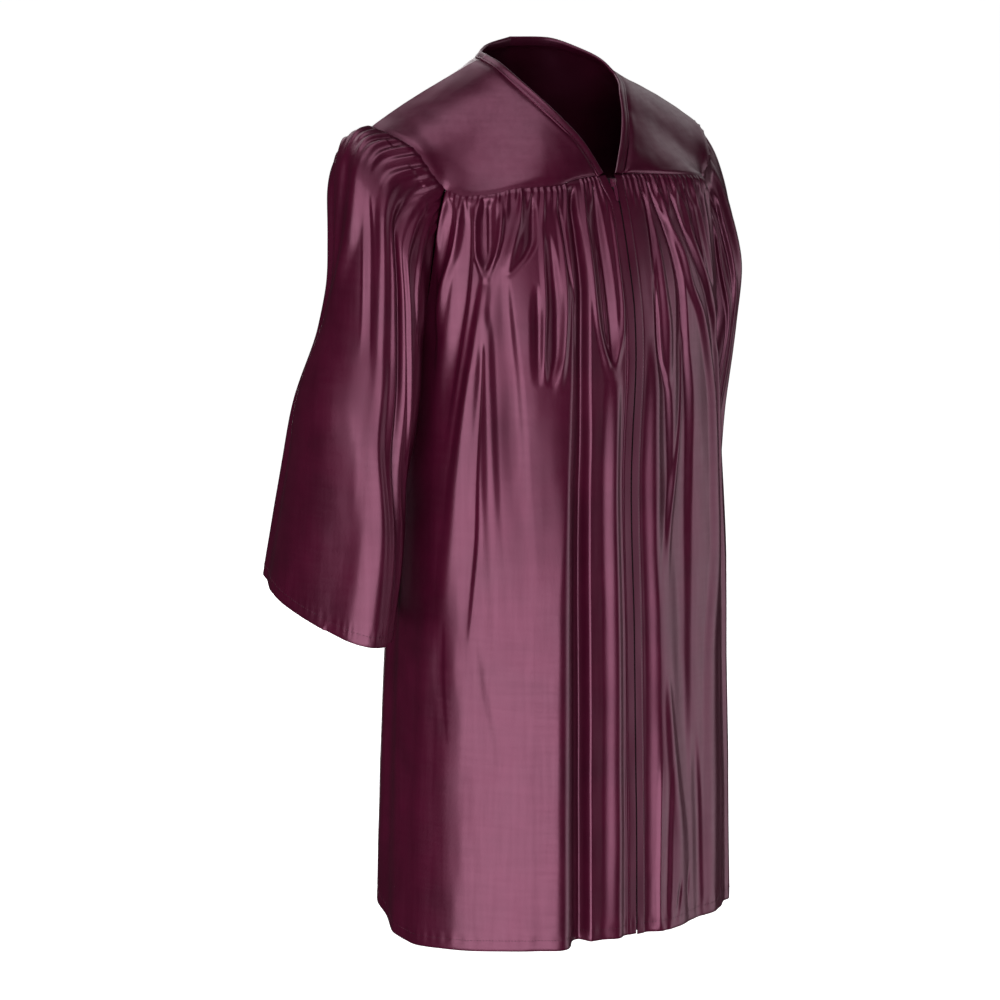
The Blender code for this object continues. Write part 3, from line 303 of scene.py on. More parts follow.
# Folds of the left front, the same way, with round counted from the zip to the wearer's left
LEFT_FRONT_FOLDS = {
    "broad swell": (
        (-0.26, 12, 4, 5, 0), (-0.33, 12.6, 4.4, 6, 0.0044), (-0.48, 13, 4.6, 8, 0.0056),
        (-0.6, 13.4, 5, 11, 0.0064), (-0.7, 13.4, 5.4, 14, 0.0078), (-0.86, 13.4, 5.6, 14, 0.008),
    ),
    "crease by the zip": (
        (-0.118, 15.4, 0.9, 0.9, 0), (-0.143, 17.4, 1.4, 1.4, -0.0026), (-0.168, 17.2, 1.6, 1.6, -0.003),
        (-0.192, 16, 1.2, 1.2, -0.0014), (-0.215, 15, 1.2, 1.2, 0),
    ),
    "first hollow": (
        (-0.205, 14.5, 1.2, 1.2, 0), (-0.243, 15.4, 1.8, 1.6, -0.003), (-0.28, 16.4, 2, 2, -0.0034),
        (-0.318, 20.6, 3.2, 3, -0.0036), (-0.38, 21, 3.8, 3.6, -0.003), (-0.45, 17.5, 3.6, 3.6, -0.0018),
        (-0.52, 16, 3, 3, 0),
    ),
    "first ridge": (
        (-0.15, 19, 1, 1, 0), (-0.175, 20, 1.6, 1.6, 0.0022), (-0.212, 20.8, 2.2, 2, 0.003),
        (-0.25, 22.6, 2.8, 2.2, 0.0032), (-0.285, 23, 2.2, 2, 0.002), (-0.31, 23.4, 1.2, 1.2, 0),
    ),
    "deep hollow": (
        (-0.12, 21, 1, 1, -0.001), (-0.138, 23, 1.2, 1.2, -0.0028), (-0.16, 26.4, 1.6, 1.6, -0.0046),
        (-0.192, 30, 1.9, 1.9, -0.0058), (-0.227, 31.6, 2.3, 2.3, -0.0064),
        (-0.264, 31.6, 2.8, 2.8, -0.0064), (-0.318, 32.4, 3.8, 3.8, -0.006), (-0.38, 31.5, 4, 4, -0.0044),
        (-0.47, 29, 4.2, 4.2, -0.003), (-0.56, 27.5, 4, 4, -0.002), (-0.64, 27, 3.6, 3.6, -0.0014),
        (-0.7, 27, 3, 3, 0),
    ),
    "thin ridge in it": (
        (-0.255, 32.6, 0.7, 0.7, 0), (-0.29, 32.2, 0.9, 0.9, 0.0022), (-0.34, 30.4, 1, 1, 0.0024),
        (-0.39, 26.6, 1.4, 1.4, 0.0022), (-0.44, 22, 2, 2, 0.0018), (-0.48, 18.5, 2.4, 2.4, 0.001),
        (-0.52, 17, 2.4, 2.4, 0),
    ),
    "long ridge": (
        (-0.118, 25, 0.9, 0.9, 0.0005), (-0.134, 27.4, 1.2, 1.2, 0.0026), (-0.16, 29.6, 1.3, 1.3, 0.0034),
        (-0.185, 34.4, 1.5, 1.5, 0.004), (-0.218, 37.4, 1.9, 1.9, 0.0044), (-0.246, 43, 2.2, 2.2, 0.0046),
        (-0.283, 47.5, 2.6, 2.6, 0.0046), (-0.34, 51, 3, 3, 0.0044), (-0.47, 50, 3.6, 3.6, 0.0036),
        (-0.56, 45.5, 3.8, 3.8, 0.003), (-0.7, 43.5, 4, 4, 0.0028), (-0.86, 43, 4, 4, 0.0024),
    ),
    "second hollow": (
        (-0.124, 33, 0.8, 0.8, -0.0005), (-0.134, 34.4, 1, 1, -0.003), (-0.166, 37.6, 1.1, 1.1, -0.0034),
        (-0.199, 43, 1.2, 1.2, -0.0034), (-0.231, 49, 1.4, 1.4, -0.0034), (-0.262, 54, 1.8, 1.8, -0.0036),
        (-0.34, 57, 2.6, 2.6, -0.004), (-0.5, 57, 3, 3, -0.004), (-0.86, 55, 3.4, 3.4, -0.0036),
    ),
    "second ridge": (
        (-0.122, 37, 0.9, 0.9, 0.0005), (-0.145, 40.4, 1.3, 1.3, 0.0026), (-0.17, 41.6, 1.5, 1.5, 0.003),
        (-0.206, 47, 2, 2, 0.0034), (-0.24, 54, 2.4, 2.4, 0.003), (-0.32, 60, 2.6, 2.6, 0.0024),
        (-0.42, 62, 3, 3, 0),
    ),
    "third hollow": (
        (-0.122, 42, 0.9, 0.9, -0.0005), (-0.145, 45.4, 1.4, 1.4, -0.0036),
        (-0.175, 46, 1.6, 1.6, -0.0036), (-0.2, 48, 1.2, 1.2, -0.0016), (-0.215, 50, 1, 1, 0),
    ),
    "third ridge": (
        (-0.122, 47.5, 0.9, 0.9, 0.0005), (-0.145, 50, 1.3, 1.3, 0.0028), (-0.18, 51.5, 1.6, 1.6, 0.003),
        (-0.215, 54, 1.6, 1.6, 0.0024), (-0.24, 57, 1.4, 1.4, 0),
    ),
    "hollow by the sleeve": (
        (-0.122, 53, 1, 1, -0.001), (-0.15, 57, 2, 2, -0.0044), (-0.19, 60, 3, 3, -0.006),
        (-0.23, 60, 3, 3, -0.0054), (-0.262, 59, 2, 2, -0.003), (-0.29, 58, 1.5, 1.5, 0),
    ),
    "ridge by the sleeve": (
        (-0.122, 61, 1.2, 1.2, 0.001), (-0.15, 65, 2, 2, 0.0036), (-0.2, 68, 2.6, 2.6, 0.0044),
        (-0.26, 68, 3, 3, 0.0036), (-0.33, 70, 3, 3, 0),
    ),
    "side ridge": (
        (-0.3, 70, 3, 3, 0), (-0.4, 71, 4, 4, 0.003), (-0.86, 72, 5, 5, 0.0034),
    ),
    "lower ridge": (
        (-0.58, 18, 1.5, 1.5, 0), (-0.62, 18.6, 2.2, 2.2, 0.0018), (-0.68, 20.5, 3, 3, 0.0024),
        (-0.76, 24, 4, 4, 0.0022), (-0.86, 24, 4.4, 4.4, 0.0012),
    ),
    "teardrop above the hem": (
        (-0.67, 17, 2, 2, 0), (-0.73, 15.6, 2.6, 2.6, -0.002), (-0.79, 14.4, 3, 3, -0.0026),
        (-0.84, 13.4, 2.4, 2.4, -0.001),
    ),
    "its thin edge": (
        (-0.66, 12.5, 0.9, 0.9, 0), (-0.72, 11.2, 0.9, 0.9, 0.0014), (-0.8, 10.8, 0.9, 0.9, 0.0014),
        (-0.83, 10.8, 0.8, 0.8, 0),
    ),
    "lower hollow": (
        (-0.64, 33, 1.6, 1.6, 0), (-0.72, 34.5, 2.2, 2.2, -0.0018), (-0.8, 35, 2.2, 2.2, -0.0016),
        (-0.86, 35.5, 1.6, 1.6, 0),
    ),
    "first pucker at the hem": (
        (-0.78, 23.6, 0.8, 0.8, 0), (-0.8, 22.4, 1, 1, -0.0014), (-0.826, 20.6, 0.8, 0.8, 0),
    ),
    "second pucker at the hem": (
        (-0.77, 29, 0.8, 0.8, 0), (-0.795, 28.4, 0.9, 0.9, -0.0012), (-0.82, 28, 0.8, 0.8, 0),
    ),
}

# Gathers at the yoke seams: the place of each ridge, its length down and its height
RIGHT_GATHERS = (
    # round, length, height
    (8.8, 0.04, 0.0016), (12.4, 0.024, 0.0012), (16, 0.034, 0.002), (18.6, 0.022, 0.0014),
    (21, 0.046, 0.0022), (30.2, 0.05, 0.0024), (32.6, 0.024, 0.0014), (34.8, 0.03, 0.0022),
    (37.4, 0.022, 0.0014), (40.4, 0.044, 0.0024), (42.8, 0.02, 0.0014), (45.6, 0.026, 0.002),
    (49, 0.04, 0.0024), (51.4, 0.02, 0.0014), (53.8, 0.034, 0.0022), (57, 0.026, 0.0022),
    (60.2, 0.014, 0.0012), (63, 0.026, 0.0022), (65.2, 0.018, 0.0014), (66.9, 0.026, 0.002),
    (69.4, 0.022, 0.0014), (71.4, 0.032, 0.0024), (73.4, 0.018, 0.0014), (75.4, 0.022, 0.0018),
)
LEFT_GATHERS = (
    (6.6, 0.024, 0.0014), (10, 0.034, 0.0016), (14, 0.034, 0.0024), (17, 0.02, 0.0014),
    (19.6, 0.04, 0.0024), (22.6, 0.022, 0.0014), (25.6, 0.036, 0.0026), (28.6, 0.022, 0.0016),
    (31.6, 0.044, 0.0026), (34.4, 0.024, 0.0016), (37.2, 0.036, 0.0026), (40, 0.022, 0.0014),
    (42.6, 0.04, 0.0026), (45.6, 0.024, 0.0016), (48.6, 0.04, 0.0026), (51, 0.022, 0.0014),
    (53.4, 0.034, 0.0024), (56, 0.022, 0.0014), (58.6, 0.03, 0.0022), (61.2, 0.02, 0.0014),
    (63.6, 0.03, 0.002), (66.4, 0.02, 0.0014), (69, 0.026, 0.0018), (71.4, 0.02, 0.0012),
)
GATHER_HALF_ANGLE = 1.25
HOLLOW_LEAN = 0.38
BACK_GATHERS = 46
BACK_GATHER_LENGTH = 0.044
BACK_GATHER_HEIGHT = 0.0024
BACK_FOLDS = 17
BACK_FOLD_HEIGHT = 0.0044
SIDE_FOLDS = (
    # round, start z, half-width at the top and at the hem, height
    (84, -0.48, 4, 5, 0.0012), (106, -0.3, 4, 6, -0.004), (254, -0.3, 4, 6, -0.004),
    (264, -0.36, 4, 5, 0.0026),
)

# Sleeve folds, the same on both: "turn" is 0 at the underarm, 0.25 at the front, 0.5 at the
# shoulder tip and 0.75 at the back. Down is the distance from the armhole seam.
SLEEVE_FOLDS = {
    # name: rows of down, turn, half-width frontward, half-width backward, height
    "sharp fold": (
        (0.015, 0.335, 0.01, 0.008, -0.001), (0.05, 0.312, 0.014, 0.01, -0.005),
        (0.1, 0.292, 0.018, 0.01, -0.0064), (0.16, 0.276, 0.022, 0.011, -0.0066),
        (0.22, 0.248, 0.024, 0.012, -0.006), (0.29, 0.222, 0.026, 0.014, -0.005),
        (0.36, 0.205, 0.028, 0.016, -0.004), (0.48, 0.2, 0.03, 0.02, -0.003),
    ),
    "main ridge": (
        (0.015, 0.362, 0.01, 0.012, 0.001), (0.055, 0.348, 0.014, 0.018, 0.0036),
        (0.12, 0.344, 0.02, 0.024, 0.004), (0.18, 0.34, 0.022, 0.026, 0.004),
        (0.23, 0.318, 0.022, 0.03, 0.0038), (0.3, 0.296, 0.024, 0.036, 0.0036),
        (0.36, 0.292, 0.03, 0.05, 0.0034), (0.48, 0.31, 0.04, 0.07, 0.003),
    ),
    "inner ridge": (
        (0.02, 0.3, 0.008, 0.008, 0.001), (0.045, 0.276, 0.01, 0.01, 0.0034),
        (0.08, 0.246, 0.011, 0.011, 0.0036), (0.12, 0.232, 0.012, 0.012, 0.0036),
        (0.16, 0.215, 0.013, 0.013, 0.0032), (0.2, 0.18, 0.016, 0.016, 0.002),
        (0.26, 0.16, 0.016, 0.016, 0),
    ),
    "armhole ridge": (
        (0.008, 0.285, 0.007, 0.007, 0.0008), (0.03, 0.252, 0.008, 0.008, 0.0026),
        (0.055, 0.212, 0.009, 0.009, 0.0026), (0.09, 0.185, 0.009, 0.009, 0),
    ),
    "shade beside the ridge": (
        (0.06, 0.396, 0.008, 0.008, 0), (0.1, 0.394, 0.012, 0.012, -0.0018),
        (0.16, 0.388, 0.013, 0.013, -0.0018), (0.22, 0.376, 0.013, 0.013, 0),
    ),
    "faint line": (
        (0.1, 0.414, 0.007, 0.007, 0), (0.15, 0.408, 0.008, 0.008, 0.0009),
        (0.22, 0.396, 0.008, 0.008, 0),
    ),
    "outer ridge": (
        (0.015, 0.425, 0.012, 0.014, 0.001), (0.06, 0.436, 0.02, 0.022, 0.003),
        (0.1, 0.455, 0.026, 0.026, 0.0032), (0.14, 0.49, 0.028, 0.028, 0.0024),
        (0.19, 0.54, 0.03, 0.03, 0),
    ),
    "outer hollow": (
        (0.03, 0.475, 0.012, 0.012, 0), (0.07, 0.49, 0.02, 0.02, -0.0026),
        (0.12, 0.525, 0.024, 0.024, -0.0026), (0.18, 0.57, 0.026, 0.026, -0.0012),
        (0.24, 0.6, 0.026, 0.026, 0),
    ),
    "lower dent": (
        (0.26, 0.4, 0.02, 0.02, 0), (0.34, 0.395, 0.04, 0.04, -0.0012), (0.48, 0.4, 0.04, 0.04, -0.0016),
    ),
    "lower swell": (
        (0.2, 0.47, 0.03, 0.03, 0), (0.3, 0.48, 0.05, 0.05, 0.0014), (0.4, 0.49, 0.05, 0.05, 0.001),
        (0.46, 0.49, 0.04, 0.04, 0),
    ),
    "first back hollow": (
        (0.02, 0.56, 0.014, 0.014, -0.001), (0.08, 0.58, 0.022, 0.022, -0.0034),
        (0.25, 0.615, 0.03, 0.03, -0.0034), (0.48, 0.63, 0.034, 0.034, -0.002),
    ),
    "first back ridge": (
        (0.02, 0.61, 0.014, 0.014, 0.001), (0.08, 0.632, 0.022, 0.022, 0.0036),
        (0.25, 0.67, 0.03, 0.03, 0.0036), (0.48, 0.69, 0.036, 0.036, 0.0026),
    ),
    "second back hollow": (
        (0.02, 0.665, 0.012, 0.012, -0.001), (0.1, 0.695, 0.022, 0.022, -0.004),
        (0.26, 0.73, 0.03, 0.03, -0.0036), (0.48, 0.75, 0.034, 0.034, -0.002),
    ),
    "second back ridge": (
        (0.04, 0.735, 0.014, 0.014, 0.001), (0.12, 0.765, 0.024, 0.024, 0.0034),
        (0.28, 0.8, 0.03, 0.03, 0.003), (0.48, 0.81, 0.034, 0.034, 0.002),
    ),
    "underarm fold": (
        (0.02, 0.9, 0.02, 0.02, 0), (0.1, 0.9, 0.03, 0.03, 0.003), (0.26, 0.89, 0.034, 0.034, 0.0024),
        (0.48, 0.88, 0.034, 0.034, 0.001),
    ),
}
FAR_SLEEVE_DEPTH = 0.75
FAR_GATHER_DEPTH = 0.35
SLEEVE_GATHERS = (
    # turn, length, height
    (0.25, 0.03, 0.0018), (0.268, 0.022, 0.0014), (0.286, 0.036, 0.0024), (0.304, 0.028, 0.002),
    (0.322, 0.05, 0.0032), (0.343, 0.036, 0.0026), (0.364, 0.06, 0.0036), (0.386, 0.044, 0.003),
    (0.406, 0.064, 0.0036), (0.43, 0.044, 0.0028), (0.452, 0.056, 0.0034), (0.474, 0.036, 0.0026),
    (0.495, 0.05, 0.003), (0.52, 0.036, 0.0024), (0.544, 0.05, 0.0028), (0.568, 0.036, 0.0022),
    (0.592, 0.05, 0.0028), (0.616, 0.036, 0.0022), (0.64, 0.046, 0.0026), (0.664, 0.034, 0.002),
    (0.688, 0.044, 0.0024), (0.71, 0.03, 0.0018), (0.73, 0.03, 0.0016),
)
SLEEVE_GATHER_HALF_TURN = 0.0085

# Soft unevenness of the cloth, coarse and fine
UNEVEN = {
    # height, scale, stretch along Z, seed
    "body": ((0.0011, 0.045, 3.0, 3.1), (0.0003, 0.014, 3.5, 9.7)),
    "sleeve": ((0.0012, 0.050, 3.0, 21.0), (0.0003, 0.015, 3.0, 27.0)),
    "yoke": ((0.0012, 0.050, 1.0, 0.0), (0.0003, 0.016, 1.0, 4.0)),
}
YOKE_SEED = {"right": 2.0, "left": 7.0, "back": 15.0}
UNEVEN_START = (0.01, 0.08)
FOLD_START = {"body": 0.012, "sleeve": 0.014, "yoke": 0.012}
ZIP_FLAT = (3.8, 6.6)

# Sewing
HEM_DEPTH = 0.0100
HEM_TURN = 0.0008
ALLOWANCE = 0.0040
ALLOWANCE_DEPTH = 0.0022
HEM_GROOVE = (0.00045, 0.0011)
HEM_PUCKER = (0.00022, 0.0050)
PUCKER_PITCH = 0.011
SEAM_ROLL = 0.0014
SEAM_ROLL_WIDTH = 0.0024
PLACKET_WIDTH = 0.0088
PLACKET_RISE = 0.0006
STITCH_LENGTH = 0.0022
STITCH_PITCH = 0.0031
STITCH_RADIUS = 0.00022
BAND_GROOVE = 0.0062
ROD_PROFILE = (
    # place along, thickness, rise in radii
    (0.00, 0.45, -0.9), (0.22, 1.00, 0.5), (0.78, 1.00, 0.5), (1.00, 0.45, -0.9),
)
TAPE_WIDTH = 0.020
TAPE_BEHIND = 0.0024
TAPE_Z = (-0.1140, -0.8270)
TAPE_RIBS = (
    # height, distance from the middle, half-width
    (0.0003, 0.0035, 0.0008), (0.0002, 0.0092, 0.0006),
)
TOOTH_PITCH = 0.0021
TOOTH_WIDTH = 0.0042
TOOTH_RADIUS = 0.00055

BAND_PROFILE = (
    # distance down from the neck edge, height out of the yoke
    (0.0088, -0.0008), (0.0088, 0.0002), (0.0082, 0.0007), (0.0070, 0.0006), (0.0062, 0.0003),
    (0.0054, 0.0006), (0.0040, 0.0010), (0.0024, 0.0011), (0.0010, 0.0009), (0.0002, 0.0003),
    (-0.0001, -0.0005), (0.0002, -0.0014), (0.0010, -0.0020), (0.0030, -0.0022), (0.0060, -0.0021),
    (0.0086, -0.0018),
)

# Colours, linear
SATIN = (0.050, 0.0024, 0.0145)
SATIN_SHEEN = (1.00, 0.42, 0.64)
THREAD = (0.060, 0.006, 0.022)
ZIP_TAPE = (0.020, 0.003, 0.009)
ZIP_TEETH = (0.022, 0.004, 0.010)
ENAMEL = (0.090, 0.012, 0.036)

# Soft lights round the robe. The low ones stand below the floor, which lets light through, so
# that their reflections reach the lower half of the cloth as in the photograph.
STUDIO_LIGHTS = (
    # name, round, height, distance, size, radiance, upright
    ("key softbox", 57, -1.38, 2.6, (4.1, 2.2), 3.8, True),
    ("upper softbox", 50, 0.80, 2.6, (3.6, 1.4), 0.8, True),
    ("far softbox", -60, -1.10, 2.6, (2.0, 2.2), 1.5, True),
    ("back softbox", -126, 1.10, 2.6, (3.0, 1.8), 0.60, True),
    ("rear softbox", -150, -0.70, 2.6, (1.1, 2.6), 2.4, True),
    ("rear top softbox", 172, 1.90, 1.9, (2.4, 1.4), 2.2, False),
    ("top softbox", 37, 2.2, 1.2, (2.2, 1.8), 2.1, False),
)


def soft_step(value, start, end):
    """0 before start, 1 after end, smooth between."""
    part = np.clip((value - start) / (end - start), 0.0, 1.0)
    return part * part * (3.0 - 2.0 * part)


def bell(value):
    """1 at 0, falling smoothly to 0 at -1 and 1."""
    return 0.5 + 0.5 * np.cos(np.pi * np.clip(value, -1.0, 1.0))


def smooth_through(at, places, values):
    """A smooth curve through values at the rising places, without overshoot."""
    places = np.asarray(places, float)
    values = np.asarray(values, float)
    flat = values.ndim == 1
    if flat:
        values = values[:, None]
    steps = np.diff(places)[:, None]
    slopes = np.diff(values, axis=0) / steps
    tangents = np.vstack([slopes[:1], (slopes[1:] + slopes[:-1]) / 2, slopes[-1:]])
    turning = slopes[1:] * slopes[:-1] <= 0
    tangents[1:-1][turning] = 0.0
    limit = 3.0 * np.minimum(np.abs(slopes[1:]), np.abs(slopes[:-1]))
    tangents[1:-1] = np.clip(tangents[1:-1], -limit, limit)
    at = np.clip(np.atleast_1d(np.asarray(at, float)), places[0], places[-1])
    cell = np.clip(np.searchsorted(places, at, side="right") - 1, 0, len(places) - 2)
    part = ((at - places[cell]) / (places[cell + 1] - places[cell]))[:, None]
    width = steps[cell]
    found = (
        (1 + 2 * part) * (1 - part) ** 2 * values[cell]
        + part * (1 - part) ** 2 * width * tangents[cell]
        + part**2 * (3 - 2 * part) * values[cell + 1]
        + part**2 * (part - 1) * width * tangents[cell + 1]
    )
    return found[:, 0] if flat else found


def lengths_along(points):
    """Distance of each point from the first, along the line through them all."""
    steps = np.linalg.norm(np.diff(points, axis=0), axis=1)
    return np.concatenate([[0.0], np.cumsum(steps)])


def along_path(points, fractions):
    """Points at these fractions of the length of a smooth path through the given points."""
    points = np.asarray(points, float)
    chord = lengths_along(points)
    fine = smooth_through(np.linspace(0, chord[-1], 400), chord, points)
    length = lengths_along(fine)
    wanted = np.asarray(fractions, float) * length[-1]
    return np.stack([np.interp(wanted, length, fine[:, axis]) for axis in range(3)], axis=1)


def signed(round_deg):
    """Angles from 0 to 360 as positive on the wearer's right and negative on the left."""
    round_deg = np.asarray(round_deg, float)
    return np.where(round_deg > 180.0, round_deg - 360.0, round_deg)


def top_edge_z(round_deg):
    """Height of the body pieces' top edge, all round."""
    angle = signed(np.ravel(round_deg))
    right = smooth_through(np.abs(angle), *zip(*TOP_EDGE["right"]))
    left = smooth_through(np.abs(angle), *zip(*TOP_EDGE["left"]))
    on_left = np.ravel(round_deg) > 180.0
    return np.where(on_left, left, right).reshape(np.shape(round_deg))


def body_points(round_deg, z):
    """Points of the smooth body, without folds, at these angles and heights."""
    round_deg, z = np.broadcast_arrays(np.asarray(round_deg, float), np.asarray(z, float))
    heights, right, left, front, back = np.array(sorted(BODY_SECTIONS)).T
    sizes = smooth_through(z.ravel(), heights, np.stack([right, left, front, back], axis=1))
    sizes = sizes.reshape(z.shape + (4,))
    across = np.sin(np.radians(round_deg))
    forward = np.cos(np.radians(round_deg))
    half_width = np.where(across >= 0, sizes[..., 0], sizes[..., 1])
    depth = np.where(forward >= 0, sizes[..., 2], sizes[..., 3])
    reach = (np.abs(across) / half_width) ** ROUNDNESS + (np.abs(forward) / depth) ** ROUNDNESS
    radius = reach ** (-1.0 / ROUNDNESS)
    return np.stack([-radius * across, -radius * forward, z], axis=-1)


def body_normals(round_deg, z):
    """Outward normals of the smooth body."""
    across = body_points(round_deg + 0.05, z) - body_points(round_deg - 0.05, z)
    down = body_points(round_deg, z - 1e-4) - body_points(round_deg, z + 1e-4)
    normals = np.cross(across, down)
    normals /= np.linalg.norm(normals, axis=-1, keepdims=True)
    outward = np.sum(normals[..., :2] * body_points(round_deg, z)[..., :2], axis=-1)
    return normals * np.sign(outward)[..., None]


def hem_z(round_deg):
    """Height of the body's hem, all round."""
    drop = smooth_through(np.ravel(round_deg), *zip(*HEM_DROP))
    return HEM_Z - drop.reshape(np.shape(round_deg))


def open_front(points, round_deg):
    """Parts the two fronts at the zip, wider at the top on the wearer's right."""
    points = points.copy()
    near_zip = np.clip(1.0 - np.abs(points[..., 0]) / 0.03, 0.0, 1.0) * (points[..., 1] < 0)
    top = soft_step(points[..., 2], V_OPENING_Z[1], V_OPENING_Z[0])
    on_right = np.asarray(round_deg) <= 180.0
    shift = np.where(on_right, -FRONT_GAP / 2 - V_OPENING * top, FRONT_GAP / 2)
    points[..., 0] += shift * near_zip
    return points


def zip_shift(z):
    heights, shifts = np.array(sorted(ZIP_WANDER)).T
    return smooth_through(np.ravel(z), heights, shifts).reshape(np.shape(z))


def wandered(points):
    """Moves the cloth beside the zip sideways with the zip's own line."""
    points = points.copy()
    near = 1 - soft_step(np.abs(points[..., 0]), *ZIP_WANDER_REACH)
    points[..., 0] += zip_shift(points[..., 2]) * near * (points[..., 1] < 0)
    return points


def ripples(points, scale, stretch, seed):
    """Smooth uneven noise from -1 to 1, drawn out along Z."""
    flat = points.reshape(-1, 3) / np.array([scale, scale, scale * stretch])
    values = [noise.noise(Vector((x + seed, y, z))) for x, y, z in flat]
    return np.array(values).reshape(points.shape[:-1])


def fold_path(rows, at):
    """Place, half-widths and height of a fold, at distances along it."""
    rows = np.array(rows)
    order = np.argsort(rows[:, 0])
    return smooth_through(at, rows[order, 0], rows[order, 1:]).T


def folds_height(folds, down, across, lean=0.0):
    """Sum of all the folds of a table on a grid.

    down has one value a row or a whole grid, and across is the place round the body. The
    bottoms of the troughs lean towards the zip, or away from it where lean is below zero,
    so that the wall on that side is steeper.
    """
    total = np.zeros(np.broadcast(down, across).shape)
    down = np.broadcast_to(down, total.shape)
    for rows in folds.values():
        lowest, highest = sorted((rows[0][0], rows[-1][0]))
        place, towards, away, height = fold_path(rows, down.ravel()).reshape((4,) + down.shape)
        inside = (down >= lowest) & (down <= highest)
        trough = lean * (height < 0)
        offset = across - place + 0.45 * trough * (towards + away)
        width = np.where(offset < 0, towards * (1 - trough), away * (1 + trough)) * 1.6
        total += np.where(inside, height, 0.0) * bell(offset / width)
    return total


def gather_height(gathers, half_width, drop, across):
    """Short ridges below a gathered seam, deepest just under it and fading downwards."""
    total = np.zeros(drop.shape)
    for place, length, height in gathers:
        fade = (0.35 + 0.65 * soft_step(drop, 0.0, 0.008)) * (1 - soft_step(drop, 0.25 * length, length))
        spread = half_width * (1 + 0.7 * np.clip(drop / length, 0.0, 1.0))
        total += height * fade * (bell((across - place) / spread) ** 1.4)
    return total


def back_gathers():
    """Gathers spread over the back, a little uneven in place, length and height."""
    first = BACK_CORNER + 1.5
    span = 360.0 - 2.0 * first
    gathers = []
    for number in range(BACK_GATHERS):
        wobble = math.sin(2.4 * number) + 0.4 * math.sin(5.1 * number)
        place = first + span * (number + 0.5 + 0.22 * wobble) / BACK_GATHERS
        length = BACK_GATHER_LENGTH * (1 + 0.35 * wobble)
        gathers.append((place, length, BACK_GATHER_HEIGHT * (1 - 0.2 * wobble)))
    return gathers


def back_folds():
    """Long folds of the back, ridge and trough in turn, uneven in place, width and length."""
    first = 118.0
    span = 360.0 - 2.0 * first
    folds = {}
    for number in range(BACK_FOLDS):
        wobble = math.sin(1.7 * number + 0.6)
        place = first + span * (number + 0.5 + 0.16 * wobble) / BACK_FOLDS
        lean = 1.6 * math.sin(2.3 * number)
        sign = 1.0 if number % 2 else -1.0
        height = sign * BACK_FOLD_HEIGHT * (1 + 0.25 * wobble)
        wide = 0.42 * span / BACK_FOLDS
        folds[number] = (
            (-0.142, place, 0.6 * wide, 0.6 * wide, 0.0000),
            (-0.190, place, 0.8 * wide, 0.7 * wide, height),
            (-0.300 - 0.05 * wobble, place + 0.5 * lean, wide, 0.9 * wide, height),
            (-0.520, place + lean, 1.3 * wide, 1.1 * wide, height * (0.55 + 0.35 * wobble)),
            (-0.860, place + 0.5 * lean, 1.6 * wide, 1.4 * wide, height * (0.30 + 0.35 * wobble)),
        )
    return folds


def side_folds():
    folds = {}
    for number, (place, start, wide_top, wide_hem, height) in enumerate(SIDE_FOLDS):
        folds[number] = (
            (start, place, wide_top, wide_top, 0.0),
            (start - 0.10, place, wide_top, wide_top, height),
            (-0.860, place, wide_hem, wide_hem, height),
        )
    return folds


def grid_normals(grid, closed=False):
    """Unit normals of a grid of points whose rows run down and whose columns run round."""
    if closed:
        across = np.roll(grid, -1, axis=1) - np.roll(grid, 1, axis=1)
    else:
        across = np.gradient(grid, axis=1)
    normals = np.cross(np.gradient(grid, axis=0), across)
    return normals / np.linalg.norm(normals, axis=2, keepdims=True)


def turned_outwards(normals, grid, inside):
    away = np.sum(normals * (grid - np.asarray(inside)), axis=2)
    return normals if away.mean() > 0 else -normals


def make_mesh(name, points, faces, material, body="robe"):
    mesh = bpy.data.meshes.new(name)
    mesh.from_pydata([tuple(point) for point in points], [], [tuple(face) for face in faces])
    mesh.materials.append(material)
    mesh.shade_smooth()
    made = bpy.data.objects.new(name, mesh)
    bpy.context.scene.collection.objects.link(made)
    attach(made, body)
    return made


def grid_faces(rows, columns, closed=False):
    """Faces of a grid of points, row by row, facing the same way as its normals turned out."""
    ring = columns if closed else columns - 1
    row = np.arange(rows - 1)[:, None] * columns
    here = np.arange(ring)[None, :]
    after = (here + 1) % columns
    corners = (row + here, row + columns + here, row + columns + after, row + after)
    return np.stack(corners, axis=-1).reshape(-1, 4)


def make_cloth(name, grid, normals, material, closed=False):
    """A sheet of cloth from a grid, its faces turned to the side that the normals point to."""
    faces = grid_faces(*grid.shape[:2], closed)
    middle = grid.shape[1] // 2
    row = grid.shape[0] // 2
    corner = grid[row, middle]
    facing = np.cross(grid[row + 1, middle] - corner, grid[row, middle + 1] - corner)
    if np.dot(facing, normals[row, middle]) < 0:
        faces = faces[:, ::-1]
    return make_mesh(name, grid.reshape(-1, 3), faces, material)


def turned_under(grid, normals, depth, turn):
    """The grid with its last rows folded to the inside, as a hem's turn-up."""
    edge = grid[-1]
    up = grid[-2] - grid[-1]
    up /= np.linalg.norm(up, axis=-1, keepdims=True)
    under = []
    for part in (0.25, 0.6, 1.0):
        under.append(edge - normals[-1] * turn * part - up * turn * 0.5 * math.sin(math.pi * part))
    for part in (0.35, 0.7, 1.0):
        under.append(edge - normals[-1] * turn + up * depth * part)
    more = np.array(under)
    return np.concatenate([grid, more]), np.concatenate([normals, np.repeat(normals[-1:], len(more), axis=0)])


def seam_allowance(grid, normals):
    """The grid with a first row that lies inside, under the piece that it is sewn to."""
    back = grid[0] - grid[1]
    back /= np.linalg.norm(back, axis=-1, keepdims=True)
    row = grid[0] + back * ALLOWANCE - normals[0] * ALLOWANCE_DEPTH
    return np.concatenate([row[None], grid]), np.concatenate([normals[:1], normals])


